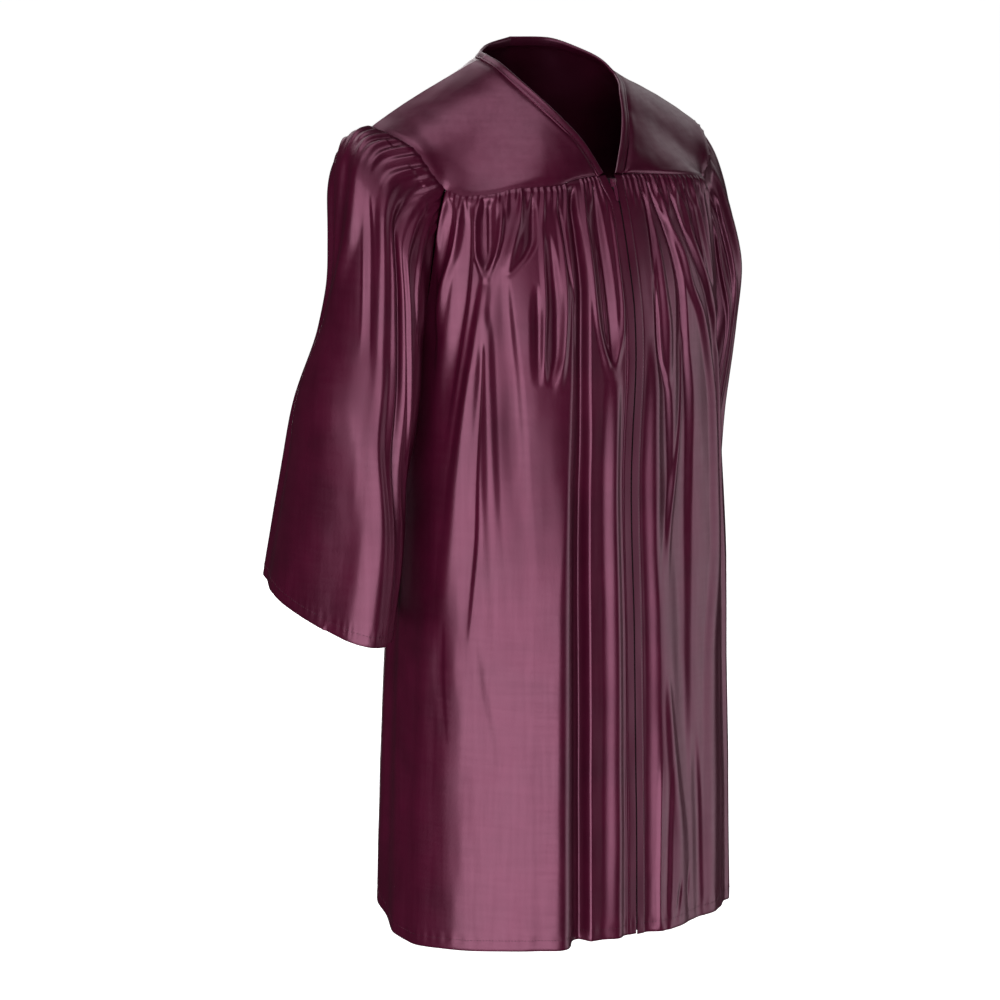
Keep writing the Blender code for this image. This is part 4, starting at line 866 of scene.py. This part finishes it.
def seam_roll(distance):
    """How far a piece turns in as it nears a seam."""
    return -SEAM_ROLL * np.exp(-((distance / SEAM_ROLL_WIDTH) ** 2))


def hem_dent(above_hem, place, pitch):
    """The line of a hem's stitches: a narrow groove with small puckers along it."""
    groove = -HEM_GROOVE[0] * np.exp(-(((above_hem - HEM_DEPTH) / HEM_GROOVE[1]) ** 2))
    pucker = HEM_PUCKER[0] * np.sin(2 * np.pi * place / pitch + 1.7 * np.sin(place / pitch))
    near = np.exp(-(((above_hem - HEM_DEPTH) / HEM_PUCKER[1]) ** 2))
    return groove + pucker * near


def body_height(round_deg, z, points):
    """How far the cloth of the body stands out of the smooth form."""
    drop = top_edge_z(round_deg) - z
    angle = signed(round_deg)
    right = angle >= 0
    heights = folds_height(RIGHT_FRONT_FOLDS, z, angle, HOLLOW_LEAN) * right
    heights += folds_height(LEFT_FRONT_FOLDS, z, -angle, -HOLLOW_LEAN) * ~right
    heights += folds_height({**back_folds(), **side_folds()}, z, round_deg)
    heights *= soft_step(drop, 0.0, FOLD_START["body"])
    heights += gather_height(RIGHT_GATHERS, GATHER_HALF_ANGLE, drop, angle)
    heights += gather_height(LEFT_GATHERS, GATHER_HALF_ANGLE, drop, -angle)
    heights += gather_height(back_gathers(), GATHER_HALF_ANGLE, drop, round_deg)
    heights *= soft_step(np.abs(angle), *ZIP_FLAT)
    for height, scale, stretch, seed in UNEVEN["body"]:
        heights += height * ripples(points, scale, stretch, seed) * soft_step(drop, *UNEVEN_START)
    heights += seam_roll(drop)
    return heights + hem_dent(z - hem_z(round_deg), np.radians(round_deg) * 0.15, PUCKER_PITCH)


def body_grid(first, last, columns, rows):
    round_deg = np.linspace(first, last, columns)[None, :]
    down = np.linspace(0, 1, rows)[:, None] ** 1.25
    top = top_edge_z(round_deg) - SEAM_GAP / 2
    z = top + down * (hem_z(round_deg) - top)
    round_deg = np.broadcast_to(round_deg, z.shape)
    smooth = body_points(round_deg, z)
    height = body_height(round_deg, z, smooth)
    grid = open_front(smooth + body_normals(round_deg, z) * height[..., None], round_deg)
    return wandered(grid), round_deg, z


def placket(grid, round_deg):
    """Raises the turned-back edge beside the zip by the cloth's double thickness."""
    from_edge = np.abs(grid[..., 0] - grid[:, :1, 0])
    rise = PLACKET_RISE * (1 - soft_step(from_edge, PLACKET_WIDTH - 0.0007, PLACKET_WIDTH))
    groove = -0.0004 * np.exp(-(((from_edge - PLACKET_WIDTH - 0.0004) / 0.0006) ** 2))
    grid = grid.copy()
    grid[..., 1] -= (rise + groove) * (np.abs(signed(round_deg)) < 20)
    return grid


def make_body(satin):
    pieces = {
        "front_right": (0.0, SIDE_SEAM, 236, 300),
        "back": (SIDE_SEAM, 360.0 - SIDE_SEAM, 300, 260),
        "front_left": (360.0 - SIDE_SEAM, 360.0, 220, 300),
    }
    grids = {}
    for name, (first, last, columns, rows) in pieces.items():
        grid, round_deg, z = body_grid(first, last, columns, rows)
        if name == "front_right":
            grid = placket(grid, round_deg)
        if name == "front_left":
            grid = placket(grid[:, ::-1], round_deg[:, ::-1])[:, ::-1]
        normals = turned_outwards(grid_normals(grid), grid, (0, 0, -0.45))
        grids[name] = (grid, normals)
        whole, whole_normals = turned_under(grid, normals, HEM_DEPTH, HEM_TURN)
        piece = make_cloth(name + "_cloth", whole, whole_normals, satin)
        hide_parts(name)
    return grids


def seam_points(angles):
    angles = np.asarray(angles, float)
    return open_front(body_points(angles, top_edge_z(angles)), angles)


def shoulder_path(side, part):
    """The yoke's end over the shoulder: from the front corner to the tip, or on to the back."""
    corner = YOKE_CORNER[side] if part == "front" else BACK_CORNER
    corner = corner if side == "right" else 360.0 - corner
    on_body = body_points(corner, top_edge_z(corner))
    shoulder = np.array(SHOULDER_EDGE[side])
    if part == "front":
        return np.vstack([on_body, shoulder[: SHOULDER_TIP + 1]])
    return np.vstack([shoulder[SHOULDER_TIP:], on_body])


def yoke_part(side, part, columns, end_columns, rows):
    """A front or back quarter of the yoke, from the band's lower edge to the seam."""
    first, last = (BAND_END_ROUND, YOKE_CORNER[side]) if part == "front" else (BACK_CORNER, 180.0)
    angles = np.linspace(first, last, columns)
    if side == "left":
        angles = 360.0 - angles
    ends = along_path(shoulder_path(side, part), np.linspace(0, 1, end_columns))
    if part == "front":
        edge = np.vstack([seam_points(angles), ends[1:]])
    else:
        edge = np.vstack([ends, seam_points(angles)[1:]])
    fractions = lengths_along(edge)
    fractions = fractions / fractions[-1]
    neck = along_path(NECK_EDGE[side][part], fractions)
    across = edge - neck
    width = np.linalg.norm(across, axis=1)
    band = np.clip(BAND_WIDTH / width, 0.0, 0.93)
    distances = (band + (1 - band) * np.linspace(0, 1, rows)[:, None])[..., None]
    to_shoulder = fractions if part == "front" else 1 - fractions
    crown = YOKE_CROWN[part] + (YOKE_CROWN["shoulder"] - YOKE_CROWN[part]) * to_shoulder
    crown = crown * np.clip(width / 0.06, 0.0, 1.0)
    lift = np.array([0.0, -1.0 if part == "front" else 1.0, 1.0])
    lift = lift / np.linalg.norm(lift) * (1 - to_shoulder)[:, None] + np.outer(to_shoulder, (0, 0, 1))
    rise = lift[None] * (crown[None, :, None] * 4 * distances * (1 - distances))
    grid = neck[None] + across[None] * distances + rise
    from_neck = (distances[..., 0] - band) * width
    to_edge = (1 - distances[..., 0]) * width
    return grid, from_neck, to_edge, neck, across / width[:, None]


def eased(grid, edge, steps=260):
    """Smooths the yoke along its rows, away from its seams, where its edge turns a corner."""
    grid = grid.copy()
    free = soft_step(edge, 0.0, 0.022)[:, 1:-1, None]
    for _ in range(steps):
        middle = (grid[:, :-2] + grid[:, 2:]) / 2
        grid[:, 1:-1] += 0.5 * free * (middle - grid[:, 1:-1])
    return grid


def dressed_yoke(grid, from_neck, to_edge, seed):
    """The yoke's grid with soft dents, turned in at its seams."""
    grid = eased(grid, np.minimum(from_neck, to_edge))
    normals = turned_outwards(grid_normals(grid), grid, (0, 0, -0.3))
    height = sum(
        rise * ripples(grid, scale, stretch, seed + more) for rise, scale, stretch, more in UNEVEN["yoke"]
    )
    edge = np.minimum(from_neck, to_edge)
    height = height * soft_step(edge, 0.0, FOLD_START["yoke"]) + seam_roll(edge) * 0.8
    grid = grid + normals * height[..., None]
    return grid, turned_outwards(grid_normals(grid), grid, (0, 0, -0.3))


def make_rods(name, starts, ends, outward, radius, material, sides=6):
    """Short rounded threads from starts to ends that dip inwards at both ends."""
    along = ends - starts
    side = np.cross(along, outward)
    side /= np.linalg.norm(side, axis=1, keepdims=True)
    turn = 2 * np.pi * np.arange(sides) / sides
    rings = []
    for place, thickness, rise in ROD_PROFILE:
        centre = starts + place * along + rise * radius * outward
        ring = np.cos(turn)[None, :, None] * side[:, None] + np.sin(turn)[None, :, None] * outward[:, None]
        rings.append(centre[:, None] + thickness * radius * ring)
    points = np.stack(rings, axis=1).reshape(-1, 3)
    size = sides * len(ROD_PROFILE)
    walls = grid_faces(len(ROD_PROFILE), sides, closed=True)
    faces = (walls[None] + size * np.arange(len(starts))[:, None, None]).reshape(-1, 4)
    return make_mesh(name, points, faces, material)


def make_stitches(name, path, outward, thread):
    """A row of stitches along a path on the cloth."""
    length = lengths_along(path)
    first = np.arange(0.2 * STITCH_PITCH, length[-1] - STITCH_PITCH, STITCH_PITCH)

    def at(places, values):
        return np.stack([np.interp(places, length, values[:, axis]) for axis in range(3)], axis=1)

    starts = at(first, path)
    ends = at(first + STITCH_LENGTH, path)
    out = at(first + 0.5 * STITCH_LENGTH, outward)
    out /= np.linalg.norm(out, axis=1, keepdims=True)
    return make_rods(name, starts, ends, out, STITCH_RADIUS, thread)


def line_above_edge(grid, normals, distance):
    """The line on a grid of cloth at this distance from its last row, with its normals."""
    points = grid[::-1]
    turned = normals[::-1]
    steps = np.linalg.norm(np.diff(points, axis=0), axis=2)
    above = np.vstack([np.zeros(points.shape[1]), np.cumsum(steps, axis=0)])
    path = []
    outward = []
    for column in range(points.shape[1]):
        places = above[:, column]
        for found, values in ((path, points), (outward, turned)):
            found.append([np.interp(distance, places, values[:, column, axis]) for axis in range(3)])
    return np.array(path), np.array(outward)


def sew_body(grids, thread):
    """Stitches round the hem and down both edges of the front opening."""
    for name, (grid, normals) in grids.items():
        path, outward = line_above_edge(grid, normals, HEM_DEPTH)
        make_stitches(f"hem_stitches_{name}", path, outward, thread)
    edges = {"front_right": (grids["front_right"], -1), "front_left": (grids["front_left"], 1)}
    for name, ((grid, normals), order) in edges.items():
        sideways = [np.swapaxes(values, 0, 1)[::order] for values in (grid, normals)]
        path, outward = line_above_edge(*sideways, PLACKET_WIDTH - 0.0006)
        above_hem = path[:, 2] > path[:, 2].min() + HEM_DEPTH
        make_stitches(f"placket_stitches_{name}", path[above_hem], outward[above_hem], thread)


def sew_sleeve(side, grid, normals, thread):
    grid, normals = (np.concatenate([values, values[:, :1]], axis=1) for values in (grid, normals))
    path, outward = line_above_edge(grid, normals, HEM_DEPTH)
    make_stitches(f"hem_stitches_sleeve_{side}", path, outward, thread)


def sew_band(neck, down, normal, thread):
    path = neck + down * BAND_GROOVE + normal * 0.0004
    make_stitches("band_stitches", path, normal, thread)


def make_zip(tape_look, teeth_look):
    """The zip behind the closed fronts: a woven tape that follows the opening, and its teeth."""
    z = np.linspace(*TAPE_Z, 200)[:, None]
    across = np.linspace(-TAPE_WIDTH / 2, TAPE_WIDTH / 2, 25)[None, :]
    face = body_points(np.zeros(z.shape), z)[..., 1] + TAPE_BEHIND
    rib = sum(height * bell((np.abs(across) - place) / width) for height, place, width in TAPE_RIBS)
    grid = np.stack(np.broadcast_arrays(across + zip_shift(z), face - rib, z), axis=-1)
    grid = np.concatenate([grid, grid[:, ::-1] + (0, 0.0006, 0)], axis=1)
    normals = turned_outwards(grid_normals(grid, True), grid, grid.mean(axis=(0, 1)))
    tape = make_cloth("zip_tape_woven", grid, normals, tape_look, closed=True)
    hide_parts("zip_tape")
    heights = np.arange(TAPE_Z[0] - 0.004, TAPE_Z[1] + 0.004, -TOOTH_PITCH)
    middle = zip_shift(heights)
    depth = body_points(np.zeros(heights.shape), heights)[:, 1] + TAPE_BEHIND - 0.0002
    lean = np.where(np.arange(len(heights)) % 2, 1.0, -1.0)
    starts = np.stack([middle - lean * TOOTH_WIDTH / 2, depth, heights], axis=1)
    ends = np.stack([middle + lean * TOOTH_WIDTH / 2, depth, heights - 0.3 * TOOTH_PITCH], axis=1)
    outward = np.broadcast_to((0.0, -1.0, 0.0), starts.shape)
    teeth = make_rods("zip_teeth", starts, ends, outward, TOOTH_RADIUS, teeth_look)


def join_at_shoulder(front, back, reach=16):
    """Brings the shoulder edges of a front and a back yoke onto one seam line."""
    seam = (front[:, -1] + back[:, 0]) / 2
    near = 1 - soft_step(np.arange(reach), 0, reach - 1)
    back[:, :reach] += (seam - back[:, 0])[:, None] * near[None, :, None]
    front[:, -reach:] += (seam - front[:, -1])[:, None] * near[None, ::-1, None]


def make_yokes(satin):
    parts = {}
    for side in ("right", "left"):
        parts[side, "front"] = yoke_part(side, "front", 110, 60, 60)
        parts[side, "back"] = yoke_part(side, "back", 110, 60, 60)
    right, left = parts["right", "back"], parts["left", "back"]
    joined = [np.concatenate([right[i], left[i][:, -2::-1]], axis=1) for i in range(3)]
    back, back_normals = dressed_yoke(*joined, YOKE_SEED["back"])
    for side, from_shoulder in (("right", back), ("left", back[:, ::-1])):
        grid, normals = dressed_yoke(*parts[side, "front"][:3], YOKE_SEED[side])
        join_at_shoulder(grid, from_shoulder)
        piece = make_cloth(f"front_yoke_{side}_cloth", grid, normals, satin)
        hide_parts(f"front_yoke_{side}")
    piece = make_cloth("back_yoke_cloth", back, back_normals, satin)
    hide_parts("back_yoke")
    return parts


def make_band(parts, satin):
    """The neck band: a strip folded over the neck edge, with a soft round edge and a groove."""
    pieces = [parts["right", "front"], parts["right", "back"], parts["left", "back"], parts["left", "front"]]
    necks = [pieces[0][3], pieces[1][3][1:], pieces[2][3][-2::-1], pieces[3][3][-2::-1]]
    downs = [pieces[0][4], pieces[1][4][1:], pieces[2][4][-2::-1], pieces[3][4][-2::-1]]
    neck = np.concatenate(necks)
    down = np.concatenate(downs)
    along = np.gradient(neck, axis=0)
    normal = np.cross(along, down)
    normal /= np.linalg.norm(normal, axis=1, keepdims=True)
    outward = np.sum(normal * (neck - np.array([0, 0, -0.3])), axis=1, keepdims=True)
    normal *= np.sign(outward)
    rows = [neck + down * out + normal * rise for out, rise in BAND_PROFILE]
    grid = np.array(rows)
    piece = make_cloth("neck_band_cloth", grid, np.broadcast_to(normal, grid.shape), satin)
    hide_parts("neck_band")
    return neck, down, normal


def armhole_loop(side, columns):
    """The armhole's points from the underarm up the front, over the shoulder and down the back."""
    to_corner = np.linspace(SIDE_SEAM, YOKE_CORNER[side], 60)[:-1]
    from_corner = np.linspace(BACK_CORNER, SIDE_SEAM, 60)[1:]
    if side == "left":
        to_corner, from_corner = 360.0 - to_corner, 360.0 - from_corner
    even = np.linspace(0, 1, 80)
    over_front = along_path(shoulder_path(side, "front"), even)
    over_back = along_path(shoulder_path(side, "back"), even)
    rising = np.vstack([seam_points(to_corner), over_front])
    falling = np.vstack([over_back, seam_points(from_corner)])
    halves = []
    for half in (rising, falling):
        length = lengths_along(half)
        wanted = np.linspace(0, length[-1], columns // 2 + 1)
        halves.append(np.stack([np.interp(wanted, length, half[:, axis]) for axis in range(3)], axis=1))
    return np.vstack([halves[0][:-1], halves[1][:-1]]), np.arange(columns) / columns


def sleeve_rings(side, loop, turns):
    rings = [loop]
    angle = 2 * np.pi * turns
    for outer_x, outer_z, inner_x, inner_z, centre_y, depth, drop in SLEEVE_SECTIONS[side]:
        outward = (1 - np.cos(angle)) / 2
        forward = np.sin(angle)
        x = inner_x + (outer_x - inner_x) * outward
        y = centre_y - depth * forward
        z = inner_z + (outer_z - inner_z) * outward - drop * forward
        rings.append(np.stack([x, y, z], axis=1))
    return np.array(rings)


def make_sleeve(side, satin, columns=300, rows=210):
    loop, turns = armhole_loop(side, columns)
    rings = sleeve_rings(side, loop, turns)
    places = len(rings) - 1
    wanted = places * np.linspace(0, 1, rows) ** 1.1
    numbers = np.arange(len(rings))
    smooth = np.stack(
        [smooth_through(wanted, numbers, rings[:, column]) for column in range(columns)], axis=1
    )
    steps = np.linalg.norm(np.diff(smooth, axis=0), axis=2)
    drop = np.concatenate([np.zeros((1, columns)), np.cumsum(steps, axis=0)])
    plain = turned_outwards(grid_normals(smooth, True), smooth, smooth.mean(axis=(0, 1)))
    across = np.broadcast_to(turns, drop.shape)
    height = folds_height(SLEEVE_FOLDS, drop, across)
    height *= soft_step(drop, 0.0, FOLD_START["sleeve"])
    gathers = gather_height(SLEEVE_GATHERS, SLEEVE_GATHER_HALF_TURN, drop, across)
    if side == "left":
        height *= FAR_SLEEVE_DEPTH
        gathers *= FAR_GATHER_DEPTH
    height += gathers
    for rise, scale, stretch, seed in UNEVEN["sleeve"]:
        height += rise * ripples(smooth, scale, stretch, seed) * soft_step(drop, *UNEVEN_START)
    height += seam_roll(drop)
    above_hem = drop[-1:] - drop
    height += hem_dent(above_hem, across * 0.6, PUCKER_PITCH)
    grid = smooth + plain * height[..., None]
    normals = turned_outwards(grid_normals(grid, True), grid, grid.mean(axis=(0, 1)))
    whole, whole_normals = seam_allowance(*turned_under(grid, normals, HEM_DEPTH, HEM_TURN))
    piece = make_cloth(f"sleeve_{side}_cloth", whole, whole_normals, satin, closed=True)
    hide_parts(f"sleeve_{side}")
    return grid, normals


def principled(name, colour, roughness):
    material = bpy.data.materials.new(name)
    material.use_nodes = True
    shader = material.node_tree.nodes["Principled BSDF"]
    shader.inputs["Base Color"].default_value = (*colour, 1.0)
    shader.inputs["Roughness"].default_value = roughness
    return material, material.node_tree, shader


def shade(colour, factor):
    return [factor * part for part in colour]


def add_noise(tree, coordinates, scale, stretch=(1.0, 1.0, 1.0), detail=2.0):
    """Noise over the surface, drawn out along an axis where stretch is small."""
    mapping = tree.nodes.new("ShaderNodeMapping")
    mapping.inputs["Scale"].default_value = stretch
    tree.links.new(coordinates.outputs["Object"], mapping.inputs["Vector"])
    texture = tree.nodes.new("ShaderNodeTexNoise")
    texture.inputs["Scale"].default_value = scale
    texture.inputs["Detail"].default_value = detail
    tree.links.new(mapping.outputs["Vector"], texture.inputs["Vector"])
    return texture.outputs["Fac"]


def add_range(tree, value, low, high, start=0.3, end=0.7):
    """The value from start to end, made to run from low to high."""
    spread = tree.nodes.new("ShaderNodeMapRange")
    numbers = {"From Min": start, "From Max": end, "To Min": low, "To Max": high}
    for name, number in numbers.items():
        spread.inputs[name].default_value = number
    tree.links.new(value, spread.inputs["Value"])
    return spread.outputs["Result"]


def add_sum(tree, first, second, operation="ADD"):
    node = tree.nodes.new("ShaderNodeMath")
    node.operation = operation
    tree.links.new(first, node.inputs[0])
    tree.links.new(second, node.inputs[1])
    return node.outputs[0]


def add_tint(tree, shader, value, dark, light):
    """Base colour from dark to light as the value runs from 0 to 1."""
    mix = tree.nodes.new("ShaderNodeMix")
    mix.data_type = "RGBA"
    tree.links.new(value, mix.inputs[0])
    mix.inputs[6].default_value = (*dark, 1.0)
    mix.inputs[7].default_value = (*light, 1.0)
    tree.links.new(mix.outputs[2], shader.inputs["Base Color"])


def add_bump(tree, shader, height, strength, distance):
    bump = tree.nodes.new("ShaderNodeBump")
    bump.inputs["Strength"].default_value = strength
    bump.inputs["Distance"].default_value = distance
    tree.links.new(height, bump.inputs["Height"])
    tree.links.new(bump.outputs["Normal"], shader.inputs["Normal"])


def add_weave(tree, coordinates, threads_per_metre, stretch):
    """Fine parallel threads across one direction, a little wavy."""
    mapping = tree.nodes.new("ShaderNodeMapping")
    mapping.inputs["Scale"].default_value = stretch
    tree.links.new(coordinates.outputs["Object"], mapping.inputs["Vector"])
    wave = tree.nodes.new("ShaderNodeTexWave")
    wave.bands_direction = "DIAGONAL"
    wave.inputs["Scale"].default_value = threads_per_metre / 20.0
    wave.inputs["Distortion"].default_value = 1.2
    wave.inputs["Detail"].default_value = 1.0
    tree.links.new(mapping.outputs["Vector"], wave.inputs["Vector"])
    return wave.outputs["Fac"]


def make_satin():
    """Polyester satin: a dark maroon ground under a pinkish gloss, with a fine thread grain."""
    material, tree, shader = principled("satin", SATIN, 0.36)
    shader.inputs["IOR"].default_value = 1.5
    shader.inputs["Specular IOR Level"].default_value = 1.0
    shader.inputs["Specular Tint"].default_value = (*SATIN_SHEEN, 1.0)
    coordinates = tree.nodes.new("ShaderNodeTexCoord")
    clouds = add_range(tree, add_noise(tree, coordinates, 22.0), 0.0, 1.0)
    add_tint(tree, shader, clouds, shade(SATIN, 0.82), shade(SATIN, 1.18))
    streaks = add_noise(tree, coordinates, 260.0, (1.0, 1.0, 0.06))
    picks = add_noise(tree, coordinates, 300.0, (0.08, 0.08, 1.0))
    gloss = add_sum(tree, add_range(tree, streaks, 0.32, 0.38), add_range(tree, picks, -0.02, 0.03))
    tree.links.new(gloss, shader.inputs["Roughness"])
    threads = add_weave(tree, coordinates, 4200.0, (1.0, 1.0, 0.35))
    relief = add_sum(tree, add_range(tree, threads, 0.0, 0.5), add_sum(tree, streaks, picks))
    add_bump(tree, shader, relief, 0.05, 0.0002)
    return material


def make_thread():
    """Sewing thread in the cloth's colour, twisted and slightly glossy."""
    material, tree, shader = principled("thread", THREAD, 0.45)
    coordinates = tree.nodes.new("ShaderNodeTexCoord")
    twist = add_weave(tree, coordinates, 9000.0, (1.0, 1.0, 1.0))
    add_tint(tree, shader, twist, shade(THREAD, 0.75), shade(THREAD, 1.2))
    add_bump(tree, shader, twist, 0.4, 0.0001)
    return material


def make_tape_look():
    """Matt woven polyester tape, its threads running across."""
    material, tree, shader = principled("zip_tape_weave", ZIP_TAPE, 0.72)
    coordinates = tree.nodes.new("ShaderNodeTexCoord")
    weave = add_weave(tree, coordinates, 2600.0, (0.5, 0.5, 1.0))
    add_tint(tree, shader, weave, shade(ZIP_TAPE, 0.7), shade(ZIP_TAPE, 1.3))
    add_bump(tree, shader, weave, 0.5, 0.0003)
    return material


def make_nylon():
    material, tree, shader = principled("nylon_teeth", ZIP_TEETH, 0.38)
    coordinates = tree.nodes.new("ShaderNodeTexCoord")
    specks = add_range(tree, add_noise(tree, coordinates, 700.0), 0.32, 0.46)
    tree.links.new(specks, shader.inputs["Roughness"])
    return material


def make_enamel():
    """Painted metal, with faint orange peel and duller rubbed patches."""
    material, tree, shader = principled("enamel", ENAMEL, 0.28)
    shader.inputs["Coat Weight"].default_value = 0.4
    shader.inputs["Coat Roughness"].default_value = 0.15
    coordinates = tree.nodes.new("ShaderNodeTexCoord")
    rubbed = add_range(tree, add_noise(tree, coordinates, 420.0, detail=4.0), 0.0, 1.0)
    add_tint(tree, shader, rubbed, ENAMEL, shade(ENAMEL, 1.35))
    peel = add_noise(tree, coordinates, 1800.0)
    tree.links.new(add_range(tree, peel, 0.24, 0.38), shader.inputs["Roughness"])
    add_bump(tree, shader, peel, 0.15, 0.0001)
    return material


def paint_nodes(material, *nodes):
    """Gives carried-over solids their finished material."""
    for node in nodes:
        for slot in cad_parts[node].material_slots:
            slot.material = material


def make_softbox(name, round_deg, height, distance, size, radiance, upright):
    """A large soft light at this angle round the robe, unseen by the camera."""
    angle = math.radians(round_deg)
    light = bpy.data.lights.new(name, "AREA")
    light.shape = "RECTANGLE"
    light.size, light.size_y = size
    light.energy = radiance * math.pi * size[0] * size[1]
    lamp = bpy.data.objects.new(name, light)
    lamp.location = (-distance * math.sin(angle), -distance * math.cos(angle), height)
    direction = Vector((0, 0, height if upright else -0.45)) - lamp.location
    lamp.rotation_euler = direction.to_track_quat("-Z", "Y").to_euler()
    lamp.visible_camera = False
    bpy.context.scene.collection.objects.link(lamp)


def make_floor():
    mesh = bpy.data.meshes.new("floor")
    reach = 40.0
    turns = ((-1, -1), (1, -1), (1, 1), (-1, 1))
    corners = [(reach * x, reach * y, FLOOR_Z) for x, y in turns]
    mesh.from_pydata(corners, [], [(0, 1, 2, 3)])
    floor = bpy.data.objects.new("floor", mesh)
    bpy.context.scene.collection.objects.link(floor)
    material, _, shader = principled("floor", (0.9, 0.9, 0.9), 0.9)
    shader.inputs["Emission Color"].default_value = (1, 1, 1, 1)
    shader.inputs["Emission Strength"].default_value = 1.0
    shader.inputs["Specular IOR Level"].default_value = 0.0
    mesh.materials.append(material)
    floor.visible_glossy = False
    floor.visible_diffuse = False
    floor.visible_shadow = False


def make_world():
    """White to the camera, and a dim even fill for the robe."""
    world = bpy.data.worlds.new("studio")
    bpy.context.scene.world = world
    world.use_nodes = True
    tree = world.node_tree
    fill = tree.nodes["Background"]
    fill.inputs["Strength"].default_value = WORLD_FILL
    backdrop = tree.nodes.new("ShaderNodeBackground")
    for background in (fill, backdrop):
        background.inputs["Color"].default_value = (1, 1, 1, 1)
    seen = tree.nodes.new("ShaderNodeLightPath")
    mix = tree.nodes.new("ShaderNodeMixShader")
    tree.links.new(seen.outputs["Is Camera Ray"], mix.inputs[0])
    tree.links.new(fill.outputs[0], mix.inputs[1])
    tree.links.new(backdrop.outputs[0], mix.inputs[2])
    tree.links.new(mix.outputs[0], tree.nodes["World Output"].inputs["Surface"])


def make_studio():
    bpy.context.scene.view_settings.view_transform = "Standard"
    make_floor()
    make_world()
    for light in STUDIO_LIGHTS:
        make_softbox(*light)


def make_camera():
    camera_data = bpy.data.cameras.new("camera")
    camera_data.lens = CAMERA_LENS
    camera_data.sensor_width = 36.0
    camera_data.clip_end = 100.0
    camera = bpy.data.objects.new("camera", camera_data)
    camera.location = CAMERA_AT
    direction = Vector(CAMERA_TARGET) - Vector(CAMERA_AT)
    camera.rotation_euler = direction.to_track_quat("-Z", "Y").to_euler()
    bpy.context.scene.collection.objects.link(camera)
    bpy.context.scene.camera = camera


make_camera()
make_studio()
satin = make_satin()
thread = make_thread()
body_grids = make_body(satin)
sew_body(body_grids, thread)
yoke_parts = make_yokes(satin)
sew_band(*make_band(yoke_parts, satin), thread)
for side in ("right", "left"):
    sleeve_grid, sleeve_normals = make_sleeve(side, satin)
    sew_sleeve(side, sleeve_grid, sleeve_normals, thread)
make_zip(make_tape_look(), make_nylon())
paint_nodes(make_enamel(), "zip_slider", "zip_pull")
